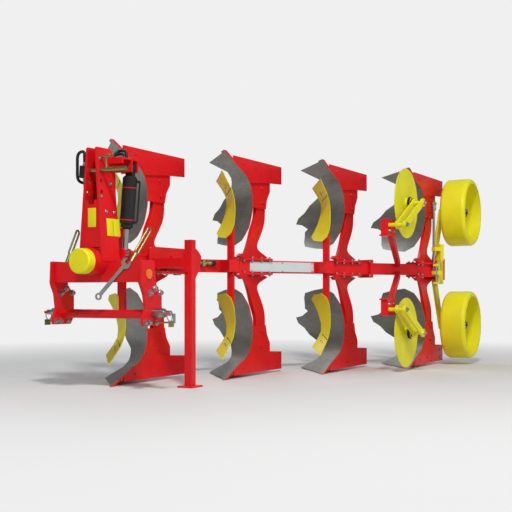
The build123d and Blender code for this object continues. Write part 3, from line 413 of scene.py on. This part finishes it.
def fasteners(name, body, spots, slot="bright_steel", head=0.62, stud=0.0, washer=1.25):
    """Bolts or nuts on a body; each spot is (point, facing, half width across the corners)."""
    mesh = bpy.data.meshes.new(name + "_points")
    mesh.from_pydata([tuple(row[0]) for row in spots], [], [])
    for label, kind in (("facing", "FLOAT_VECTOR"), ("half_width", "FLOAT")):
        mesh.attributes.new(label, kind, "POINT")
    for index, (_, normal, half_width) in enumerate(spots):
        mesh.attributes["facing"].data[index].vector = normal
        mesh.attributes["half_width"].data[index].value = half_width
    seed = bpy.data.objects.new(name + "_points", mesh)
    scene.collection.objects.link(seed)
    modifier = seed.modifiers.new("fasteners", "NODES")
    modifier.node_group = FASTENERS
    set_inputs(modifier, Head_Height=head * 2.0, Washer_Width=washer, Stud_Length=stud, Finish=MATERIALS[slot])
    piece = plain_mesh(name, seed)
    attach(piece, body)
    return piece


# ------------------------------------------------------------------ builders of small parts
SHARP = math.radians(35.0)                  # edges that turn more than this stay crisp
BEVELLED = 0.6                              # edges that turn more than this, in radians, are bevelled


def finished(name, body, slot, bm, bevel=0.0):
    """A bmesh made a piece that rides on a body, in a slot's finish."""
    bmesh.ops.remove_doubles(bm, verts=bm.verts, dist=1e-6)
    bmesh.ops.recalc_face_normals(bm, faces=bm.faces)
    if bevel:
        edges = [edge for edge in bm.edges if len(edge.link_faces) == 2 and edge.calc_face_angle() > BEVELLED]
        bmesh.ops.bevel(bm, geom=edges, offset=bevel, segments=2, profile=0.6, affect="EDGES", clamp_overlap=True)
    mesh = bpy.data.meshes.new(name)
    bm.to_mesh(mesh)
    bm.free()
    for polygon in mesh.polygons:
        polygon.use_smooth = True
    mesh.set_sharp_from_angle(angle=SHARP)
    mesh.materials.append(MATERIALS[slot])
    piece = bpy.data.objects.new(name, mesh)
    scene.collection.objects.link(piece)
    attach(piece, body)
    return piece


def slab(bm, centre, size, up=(0, 0, 1)):
    """A block about a centre, its first side along the row's +X and its last as near up as it can be."""
    first = Vector((1, 0, 0))
    second = Vector(up).cross(first).normalized()
    third = first.cross(second)
    turn = Matrix((first, second, third)).transposed().to_4x4()
    bmesh.ops.create_cube(bm, size=1.0, matrix=Matrix.Translation(centre) @ turn @ Matrix.Diagonal((*size, 1.0)))


def circle(bm, middle, side, other, radius, segments):
    """A circle of new vertices about a point, in the plane of two directions."""
    turns = (math.tau * step / segments for step in range(segments))
    return [bm.verts.new(middle + (side * math.cos(turn) + other * math.sin(turn)) * radius) for turn in turns]


def skin(bm, rings, hollow=False):
    """Faces between rings in turn, closed at both ends, or from the last ring back to the first."""
    for low, high in zip(rings, rings[1:] + rings[:1] if hollow else rings[1:]):
        for step in range(len(low)):
            after = (step + 1) % len(low)
            bm.faces.new((low[step], low[after], high[after], high[step]))
    if not hollow:
        bm.faces.new(rings[0][::-1])
        bm.faces.new(rings[-1])


def turned(bm, start, direction, profile, segments=40, hollow=False):
    """A turned part: rings of (distance along, radius) from a start, closed at its ends or back on itself."""
    axis = Vector(direction).normalized()
    side = axis.orthogonal().normalized()
    skin(bm, [circle(bm, Vector(start) + axis * along, side, axis.cross(side), radius, segments)
              for along, radius in profile], hollow)


def rounded_path(points, radius, steps=6):
    """A path whose corners are turned with a bend radius."""
    points = [Vector(point) for point in points]
    path = [points[0]]
    for before, corner, after in zip(points, points[1:], points[2:]):
        into, out = (before - corner).normalized(), (after - corner).normalized()
        cut = min(radius, (before - corner).length * 0.45, (after - corner).length * 0.45)
        start, end = corner + into * cut, corner + out * cut
        for step in range(steps + 1):
            part = step / steps
            path.append(start.lerp(corner, part).lerp(corner.lerp(end, part), part))
    path.append(points[-1])
    return path


def pipe(bm, points, radius, bend=0.05, segments=14):
    """A round pipe along a path with bent corners."""
    path = rounded_path(points, bend)
    side, rings = None, []
    for index, middle in enumerate(path):
        ahead = (path[min(index + 1, len(path) - 1)] - path[max(index - 1, 0)]).normalized()
        side = ahead.orthogonal() if side is None else side - ahead * side.dot(ahead)
        side.normalize()
        rings.append(circle(bm, middle, side, ahead.cross(side), radius, segments))
    skin(bm, rings)


# ------------------------------------------------------------------ sizes that the small parts follow
BODIES = 4
STEP = Vector((-0.840, 0.446, 0.0))         # from one body to the next
POINT = Vector((-0.157, -0.077, 0.0))       # first share point, from the floor point between the link pins
BEAM_BACK = Vector((-0.530, -0.040, 0.0))   # from a share point to the beam's centre above its body
ALONG = STEP.normalized()                   # the way the beam runs
LEFT = Vector((ALONG.y, -ALONG.x, 0.0))     # level, and square to the beam
UP, ACROSS = Vector((0, 0, 1)), Vector((0, 1, 0))
BEAM_HALF = 0.050
FLANGE = 0.016                              # thickness of the leg plates over and under the beam
SIDE_OUT, SIDE_IN = 0.382, 0.362            # faces of the headstock's side plates
LEAN = math.radians(4.0)                    # each tower plate leans inwards
TOWER_TOP, TOWER_TOP_HALF = 1.650, 0.043
PIN_Z, PIN_COLLAR, PIN_HOLE, PIN_END = 0.530, 0.462, 0.508, 0.517        # lower link pins
WHEEL_DISH, WHEEL_HUB = 0.145, 0.040        # depth of a wheel's dish, and its hub's height in it
WHEEL_CAP = 0.034                           # how far a wheel's hub cap stands out of its hub


def mirrored(point):
    """The place of a lower piece's twin above the beam."""
    return Vector((point.x, point.y, 2 * AXIS.z - point.z))


def both(*points):
    """Each place on a lower piece, followed by its twin above the beam."""
    return [twin for point in points for twin in (point, mirrored(point))]


def beam(index, along=0.0, out=0.0, up=0.0):
    """A place from the beam's centre at a body: along the beam, out to its left, and up."""
    root = LINK + POINT + BEAM_BACK + STEP * index + UP * AXIS.z
    return root + ALONG * along + LEFT * out + UP * up


def station(index, back, y, z):
    """A place on a lower body: behind its point, left of its landside, above the floor."""
    return LINK + POINT + STEP * index + Vector((-back, y, z))


def on_tower(x, z, hand=1):
    """A place on a tower plate's outer face, and the way that face looks."""
    return (spot(x, hand * (TOWER_TOP_HALF + (TOWER_TOP - z) * math.tan(LEAN)), z),
            Vector((0, hand * math.cos(LEAN), math.sin(LEAN))))


def landed(tree, starts, direction, width, facing=None):
    """Fasteners where lines from the starts meet a surface, looking as it does unless told otherwise."""
    hits = [hit for hit in (land(tree, start, direction) for start in starts) if hit]
    return [(point, normal if facing is None else facing, width) for point, normal in hits]


# ------------------------------------------------------------------ bolts and nuts
PLATE_BOLTS = ((0.047, 0.664), (-0.013, 0.697), (-0.079, 0.666))        # x, z on a side plate
TOE_BOLTS = ((0.104, 0.468), (-0.032, 0.464), (0.052, 0.466))           # x, z at its toe
side_bolts = []
for hand in (1, -1):
    for rows, width in ((PLATE_BOLTS, 0.018), (TOE_BOLTS, 0.015)):
        for x, z in rows:
            side_bolts.append((spot(x, hand * SIDE_OUT, z), ACROSS * hand, width))
            side_bolts.append((spot(x, hand * SIDE_IN, z), ACROSS * -hand, width))
fasteners("side_plate_bolts", "headstock", side_bolts, head=0.7, stud=0.5, washer=1.3)

TOWER_BOLTS = ((0.046, 1.409, 0.013), (0.160, 1.318, 0.011), (0.110, 1.215, 0.011), (0.020, 1.215, 0.011),
               (0.150, 1.575, 0.011))                                   # x, z, half width
fasteners("tower_bolts", "headstock",
          [(*on_tower(x, z, hand), width) for hand in (1, -1) for x, z, width in TOWER_BOLTS], head=0.6, stud=0.3)

FLANGE_ROWS = (-0.125, -0.045, 0.045, 0.125)            # along the beam, from its centre at a body
LAST_ROWS = (-0.125, -0.075, 0.030, 0.075)              # the last plates are shorter
FLANGE_EDGE, JOINT_EDGE = 0.0625, 0.064                 # bolts from the beam's centre
BEAM_JOINTS, JOINT_HALF = (0.825, 2.270), 0.01415       # in bodies along the beam; half a joint's thickness
BEAM_BOLT = 0.0105
beam_bolts = []
for index in range(BODIES):
    last = index == BODIES - 1
    for along in LAST_ROWS if last else FLANGE_ROWS:
        for out in (-FLANGE_EDGE, FLANGE_EDGE):
            for sign in (-1, 1):
                if last and along > 0 and out > 0:      # the notch round the wheels' screw
                    continue
                inside = beam(index, along, out, sign * BEAM_HALF)
                beam_bolts.append((inside, UP * -sign, BEAM_BOLT))
                beam_bolts.append((inside + UP * sign * FLANGE, UP * sign, BEAM_BOLT))
for at in BEAM_JOINTS:
    for side in (-1, 1):
        for out in (-JOINT_EDGE, JOINT_EDGE):
            for up in (-JOINT_EDGE, JOINT_EDGE):
                beam_bolts.append((beam(at, side * JOINT_HALF, out, up), ALONG * side, BEAM_BOLT))
fasteners("beam_bolts", "plough_frame", beam_bolts, head=0.7, stud=0.45)

BODY_BOLTS = (                                          # places (back, z), y, way they face, half width
    (((0.655, 0.352), (0.640, 0.235)), -0.0123, ACROSS, 0.013),         # frog
    (((0.300, 0.070), (0.520, 0.075), (0.880, 0.060), (0.880, 0.130)), 0.0, ACROSS, 0.009),     # landside
    (((0.648, 0.330), (0.645, 0.240)), -0.0563, -ACROSS, 0.013),        # leg
)
body_bolts = [(place, facing, width) for index in range(BODIES) for rows, y, facing, width in BODY_BOLTS
              for back, z in rows for place in both(station(index, back, y, z))]
fasteners("body_bolts", "plough_frame", body_bolts, slot="red_paint", head=0.45, stud=0.25, washer=1.15)

# ------------------------------------------------------------------ hubs of the wheels and disc coulters
for side in ("lower", "upper"):
    disc, wheel = f"disc_coulter_{side}", f"depth_wheel_{side}"
    disc_centre, wheel_centre = (Vector(joints[f"{name}_{side}_spin"]["pos_m"]) for name in ("disc", "wheel"))
    disc_centre.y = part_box(disc)[1][1]
    wheel_centre.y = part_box(wheel)[1][1] - WHEEL_DISH + WHEEL_HUB
    cap_centre = wheel_centre + ACROSS * WHEEL_CAP
    for name, centre, radius, count, width, slot in (
            (disc, disc_centre, 0.034, 5, 0.007, "black_paint"),
            (wheel, cap_centre, 0.029, 6, 0.010, "bright_steel")):
        turns = [math.tau * (step + 0.25) / count for step in range(count)]
        fasteners(name + "_bolts", name, [(centre + Vector((radius * math.cos(turn), 0, radius * math.sin(turn))),
                                           ACROSS, width) for turn in turns], slot=slot, head=0.7, stud=0.6)
    cap = bmesh.new()
    turned(cap, wheel_centre, ACROSS,
           [(0, 0.046), (0.008, 0.046), (0.012, 0.042), (WHEEL_CAP - 0.003, 0.042), (WHEEL_CAP, 0.039)])
    turned(cap, cap_centre, ACROSS, [(0, 0.013), (0.014, 0.012), (0.018, 0.008)], 24)
    finished(wheel + "_hub_cap", wheel, "black_paint", cap)
    bearing = bmesh.new()
    turned(bearing, disc_centre - ACROSS * 0.024, ACROSS,
           [(0, 0.047), (0, 0.0525), (0.002, 0.0535), (0.020, 0.0535), (0.023, 0.050), (0.023, 0.047)], hollow=True)
    finished(disc + "_bearing", disc, "black_paint", bearing)

HEAD_LEFT, HEAD_FLOOR = 1.266, 0.607        # a lower coulter head's left face, and its end towards the beam
coulter_bolts = [(place, ACROSS, 0.011) for x in (-2.175, -2.275) for z in (0.520, 0.575)
                 for place in both(spot(x, HEAD_LEFT, z))]
for x in (-2.165, -2.285):
    for y in (1.222, 1.252):
        low, high = both(spot(x, y, HEAD_FLOOR))
        coulter_bolts += [(low, UP, 0.010), (high, -UP, 0.010)]
fasteners("coulter_head_bolts", "plough_frame", coulter_bolts, head=0.7, stud=0.5)

FAR_LEFT = 2.0                              # clear of every arm, to look back at them from
arm_ends = both(spot(-2.160, FAR_LEFT, 0.530), spot(-2.470, FAR_LEFT, 0.330))
fasteners("coulter_arm_nuts", "plough_frame", landed(solid_tree("disc_arms"), arm_ends, -ACROSS, 0.016, ACROSS),
          head=0.55, stud=0.5)

# ------------------------------------------------------------------ bare plates
LABEL = 0.0016                              # thickness of a stuck-on plate
labels = bmesh.new()
slab(labels, spot(0.184 + LABEL / 2, 0.008, 1.173), (LABEL, 0.066, 0.128))
place, facing = on_tower(0.0415, 1.1115)
for shift in (-0.0385, 0.0385):
    slab(labels, place + facing * LABEL / 2 + Vector((shift, 0, 0)), (0.073, LABEL, 0.119),
         up=(0, -math.sin(LEAN), math.cos(LEAN)))
finished("warning_plates", "headstock", "yellow_paint", labels, bevel=LABEL / 4)

rivets = [beam(at, 0.0, BEAM_HALF + 0.10, up) for at in (0.955, 1.275, 1.594) for up in (-0.033, 0.033)]
fasteners("name_plate_rivets", "plough_frame", landed(solid_tree("name_plate"), rivets, -LEFT, 0.006, LEFT),
          head=0.35, washer=1.1)

# ------------------------------------------------------------------ painted shadows along the seams, and flush bolts of the skimmers' shares
# (back, y, z) along a lower share's seam, where a thin black pipe is laid as painted shadow of its gap
SEAM_SHADOW = ((0.1190, -0.0135, 0.2790), (0.1585, -0.0465, 0.294), (0.1935, -0.0795, 0.308), (0.2225, -0.1075, 0.3205))
SHARE_BOLTS = ((0.140, -0.052, 0.255), (0.172, -0.082, 0.268))
share_tree, share_bolts, seam_shadows = solid_tree("skimmer_shares"), [], bmesh.new()
for index in range(BODIES):
    if station(index, *SEAM_SHADOW[0]).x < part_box("skimmer_shares")[0][0]:
        continue                            # the last body has disc coulters instead
    low_seam_shadow = [station(index, *place) for place in SEAM_SHADOW]
    for path in (low_seam_shadow, [mirrored(point) for point in low_seam_shadow]):
        # the thin black pipe is painted shadow: it stands for the dark gap where the share meets its board
        pipe(seam_shadows, path, 0.0022, bend=0.004, segments=8)
    starts = [place + SOIL_SIDE * 0.2 for place in both(*(station(index, *place) for place in SHARE_BOLTS))]
    share_bolts += landed(share_tree, starts, -SOIL_SIDE, 0.008)
finished("skimmer_seam_shadows", "plough_frame", "black_paint", seam_shadows)
fasteners("skimmer_share_bolts", "plough_frame", share_bolts, head=0.3, washer=1.1)

# ------------------------------------------------------------------ turnover cylinder
PIVOT, EYE = spot(-0.080, 0.140, 1.530), spot(-0.080, 0.0901, 0.9406)      # the barrel's pin and the rod's eye
DOWN = (EYE - PIVOT).normalized()
REAR_SIDE = Vector((-0.5, 0.866, 0.0))      # clear of the tower and of the skimmers that swing past
SLEEVE = 0.050                              # radius of the sleeve round the barrel
PORTS, PORT_REACH = (0.096, 0.376), 0.062   # down the barrel, and out from its axis
stripes = bmesh.new()
for at in (0.137, 0.358):
    turned(stripes, PIVOT + DOWN * at, DOWN, [(0, 0.049), (0.0004, 0.0508), (0.0056, 0.0508), (0.006, 0.049)], 56,
           hollow=True)
finished("barrel_stripes", "turnover_barrel", "red_paint", stripes)
gland = bmesh.new()
turned(gland, PIVOT + DOWN * 0.3995, DOWN, [(0, 0.0225), (0, 0.040), (0.002, 0.041), (0.014, 0.041), (0.016, 0.038),
                                            (0.017, 0.030), (0.024, 0.029), (0.026, 0.026), (0.026, 0.0225)], 48,
       hollow=True)
finished("barrel_gland", "turnover_barrel", "black_paint", gland)
ports = bmesh.new()
for at in PORTS:
    seat = PIVOT + DOWN * at + REAR_SIDE * (SLEEVE - 0.008)
    turned(ports, seat, REAR_SIDE, [(0, 0.013), (0.014, 0.013), (0.015, 0.011), (0.016, 0.010), (0.026, 0.010)], 6)
finished("barrel_ports", "turnover_barrel", "black_paint", ports)
line = bmesh.new()
high, low = (PIVOT + DOWN * at + REAR_SIDE * PORT_REACH for at in PORTS)
pipe(line, [high - DOWN * 0.001, high + REAR_SIDE * 0.008 + DOWN * 0.004, low + REAR_SIDE * 0.008 - DOWN * 0.004,
            low + DOWN * 0.001], 0.0060, bend=0.02)
finished("barrel_line", "turnover_barrel", "black_paint", line)
sleeve = bmesh.new()
turned(sleeve, PIVOT + DOWN * 0.066, DOWN, [(0, 0.0425), (0.002, SLEEVE - 0.003), (0.006, SLEEVE), (0.318, SLEEVE),
                                            (0.323, SLEEVE - 0.004), (0.326, 0.0425)], 56, hollow=True)
finished("barrel_sleeve", "turnover_barrel", "black_paint", sleeve)

# ------------------------------------------------------------------ valve block and its steel pipes
BLOCK = Vector((0.105, 0.054, 0.084))
FITTING = ((0, 0.012), (0.018, 0.012), (0.019, 0.010), (0.030, 0.010))
PIPE, THIN_PIPE, TOP_PIPE = 0.0105, 0.0085, 0.010       # radii
HOUSING_TOP = 0.962                         # where the pipes go in, between the tower plates
valve = bmesh.new()
place, facing = on_tower(0.120, 1.486, -1)
block = place + facing * BLOCK.y / 2
slab(valve, block, BLOCK, up=(0, math.sin(LEAN), math.cos(LEAN)))
slab(valve, block + UP * 0.050, (0.050, 0.040, 0.018))
finished("valve_block", "headstock", "black_paint", valve, bevel=0.003)
outlets = [block + Vector((shift, 0, 0)) for shift in (-0.028, 0.028)]
steel = bmesh.new()
for point in outlets:
    for way in (UP, -UP):
        turned(steel, point + way * 0.040, way, FITTING, 6)
finished("valve_fittings", "headstock", "bright_steel", steel)
pipes = bmesh.new()
for number, point in enumerate(outlets):
    inner = 0.012 * number
    rise, reach = 0.048 + inner * 2.5, 0.062 + inner * 1.8
    top, bottom = point + UP * 0.068, point - UP * 0.068
    pipe(pipes, [top, top + UP * rise, top + Vector((-0.030, -reach, rise - 0.01)),
                 top + Vector((-0.045, -reach - 0.012, -0.130)), spot(-0.045 - inner, -0.105, 1.440 - inner),
                 spot(-0.045 - inner, -0.004, 1.490), spot(0.004 + inner, 0.004, 1.400),
                 spot(0.010 + inner, 0.004, HOUSING_TOP)], PIPE, bend=0.05)
    pipe(pipes, [bottom, bottom - UP * 0.030, bottom + Vector((-0.030, -0.020, -0.075)),
                 spot(-0.040 - inner, -0.096, 1.345 - inner), spot(-0.040 - inner, -0.004, 1.390),
                 spot(0.040 + inner, -0.004, 1.300), spot(0.050 + inner, -0.004, HOUSING_TOP)], THIN_PIPE, bend=0.04)
unions = bmesh.new()
for shift in (0.0, 0.028):
    pipe(pipes, [spot(-0.020, 0.0, 1.480), spot(-0.030, 0.0, 1.560), spot(-0.082 - shift, 0.004, 1.628 + shift),
                 spot(-0.092 - shift, 0.070, 1.632 + shift), spot(-0.088 - shift, 0.088, 1.588)],
         TOP_PIPE, bend=0.035)
    turned(unions, spot(-0.088 - shift, 0.088, 1.584), UP, [(0, 0.013), (0.016, 0.013), (0.018, 0.011)], 6)
finished("hydraulic_pipes", "headstock", "black_paint", pipes)
finished("bracket_unions", "headstock", "bright_steel", unions)

# ------------------------------------------------------------------ link pins' ends, width screw and wheel carrier
ends, tips = bmesh.new(), bmesh.new()
for hand in (1, -1):
    way, cross = ACROSS * hand, spot(0.032, hand * PIN_HOLE, PIN_Z)
    turned(ends, spot(0, hand * (PIN_COLLAR + 0.0005), PIN_Z), way,
           [(0, 0.030), (0.006, 0.030), (0.007, 0.024), (0.013, 0.024)], 40)
    turned(ends, spot(0, hand * PIN_END, PIN_Z) - way * 0.001, way,
           [(0, 0.016), (0.004, 0.016), (0.005, 0.011), (0.010, 0.010)], 24)
    turned(ends, cross, Vector((-1, 0, 0)), [(0, 0.0052), (0.064, 0.0052)], 14)
    loop = [cross] + [spot(x, hand * y, z) for x, y, z in (
        (0.034, PIN_HOLE, 0.500), (0.010, 0.512, 0.474), (-0.018, 0.512, 0.478), (-0.034, PIN_HOLE, 0.502),
        (-0.032, PIN_HOLE, PIN_Z))]
    pipe(ends, loop, 0.0036, bend=0.02, segments=10)
    turned(tips, cross, Vector((1, 0, 0)), [(-0.004, 0.009), (0.0, 0.010), (0.010, 0.010), (0.013, 0.007)], 20)
    slab(ends, spot(-0.046, hand * 0.5145, 0.494), (0.030, 0.003, 0.066), up=(0.25, 0, 1))
finished("linch_pins", "headstock", "bright_steel", ends)
finished("linch_pin_caps", "headstock", "red_paint", tips)

knob = bmesh.new()
turned(knob, beam(0.535, 0.0, 0.070, 0.020), ALONG,
       [(0, 0.016), (0.004, 0.019), (0.030, 0.021), (0.040, 0.019), (0.046, 0.012)], 28)
finished("width_screw_knob", "plough_frame", "black_paint", knob)

screw = bmesh.new()
turned(screw, spot(-3.228, 1.312, 1.4702), UP, [(0, 0.023), (0.004, 0.025), (0.022, 0.025), (0.028, 0.018)], 6)
turned(screw, spot(-3.228, 1.312, 1.420), UP, [(0, 0.012), (0.001, 0.020), (0.026, 0.020), (0.027, 0.012)], 6)
finished("wheel_screw_cap", "plough_frame", "olive_zinc", screw)
slide = bmesh.new()
turned(slide, spot(-3.2200, 1.3340, 0.735), UP, [(0, 0.010), (0.004, 0.013), (0.200, 0.013), (0.204, 0.010)], 20)
finished("carrier_slide_rod", "plough_frame", "bright_steel", slide)
clamps = bmesh.new()
for z in (0.756, 0.918):
    slab(clamps, spot(-3.2255, 1.3340, z), (0.040, 0.044, 0.020))
finished("carrier_slide_clamps", "plough_frame", "yellow_paint", clamps, bevel=0.002)
strip = bmesh.new()
slab(strip, spot(-3.4495, 1.3405, 0.884), (0.030, 0.006, 0.197))
slab(strip, spot(-3.4600, 1.320, 0.884), (0.006, 0.044, 0.197))
finished("carrier_strip", "plough_frame", "red_paint", strip, bevel=0.001)

# ------------------------------------------------------------------ camera, light and floor
CAMERA_PLACE = Vector((5.643, 4.094, -0.2125))          # from the turnover axis above the link pins
CAMERA_HEADING = math.radians(117.5)
LENS, LENS_RISE = 70.3, 0.072265625         # in mm, and in sensor widths
camera = bpy.data.objects.new("camera", bpy.data.cameras.new("camera"))
scene.collection.objects.link(camera)
camera.location = AXIS + CAMERA_PLACE
camera.rotation_euler = (math.pi / 2, 0.0, CAMERA_HEADING)
camera.data.lens = LENS
camera.data.sensor_width = 36.0
camera.data.shift_y = LENS_RISE
camera.data.clip_end = 100.0
scene.camera = camera


def area_light(name, place, target, size, power, colour=(1.0, 1.0, 1.0)):
    data = bpy.data.lights.new(name, "AREA")
    data.shape = "RECTANGLE"
    data.size, data.size_y = size
    data.energy = power
    data.color = colour
    lamp = bpy.data.objects.new(name, data)
    scene.collection.objects.link(lamp)
    lamp.location = place
    lamp.rotation_euler = (Vector(target) - Vector(place)).to_track_quat("-Z", "Y").to_euler()
    return lamp


CENTRE = Vector((0.0, 0.0, 0.8))
area_light("key", (5.6, 3.4, 7.0), CENTRE, size=(0.9, 0.9), power=470.0, colour=(1.0, 0.99, 0.97))
area_light("side", (1.5, 8.5, 4.5), CENTRE, size=(4.0, 3.0), power=170.0)
area_light("back", (-6.0, -6.0, 6.0), CENTRE, size=(4.0, 3.0), power=170.0, colour=(0.97, 0.98, 1.0))

BACKDROP = 0.87             # the level of the far floor and of the sky behind it
world = bpy.data.worlds.new("studio")
world.use_nodes = True
scene.world = world
tree = world.node_tree
rays = add(tree, "ShaderNodeLightPath")
seen = math_node(tree, "MAXIMUM", rays.outputs["Is Camera Ray"], rays.outputs["Is Transmission Ray"])
sky = blend_colour(tree, rays.outputs["Is Glossy Ray"], (0.36, 0.37, 0.38), (0.26, 0.26, 0.27))
backdrop = blend_colour(tree, seen, sky, (BACKDROP, BACKDROP, BACKDROP))
tree.links.new(backdrop, tree.nodes["Background"].inputs["Color"])

FLOOR_HALF, FLOOR_SHADE, FLOOR_BELOW = 60.0, 0.70, 0.0005
FADE_FROM, FADE_TO = 2.6, 6.0               # the floor turns into the backdrop between these distances
half = FLOOR_HALF
floor_mesh = bpy.data.meshes.new("floor")
floor_mesh.from_pydata([(-half, -half, 0), (half, -half, 0), (half, half, 0), (-half, half, 0)], [], [(0, 1, 2, 3)])
floor = bpy.data.objects.new("floor", floor_mesh)
scene.collection.objects.link(floor)
floor.location.z = cad_box[0][2] - FLOOR_BELOW
material, tree, surface = new_material("studio_floor")
surface.inputs["Base Color"].default_value = (FLOOR_SHADE, FLOOR_SHADE, FLOOR_SHADE, 1.0)
surface.inputs["Roughness"].default_value = 0.9
rays = add(tree, "ShaderNodeLightPath")
place = add(tree, "ShaderNodeTexCoord").outputs["Object"]
far = add(tree, "ShaderNodeVectorMath", {"operation": "LENGTH"}, i0=place).outputs["Value"]
far = remap(tree, far, FADE_FROM, FADE_TO)
seen = math_node(tree, "MAXIMUM", rays.outputs["Is Camera Ray"], rays.outputs["Is Glossy Ray"])
glow = add(tree, "ShaderNodeEmission", None, Color=(BACKDROP, BACKDROP, BACKDROP, 1.0), Strength=1.0)
mixed = add(tree, "ShaderNodeMixShader", None, i0=math_node(tree, "MULTIPLY", far, seen), i1=surface.outputs[0],
            i2=glow.outputs[0])
tree.links.new(mixed.outputs[0], tree.nodes["Material Output"].inputs["Surface"])
floor.data.materials.append(material)
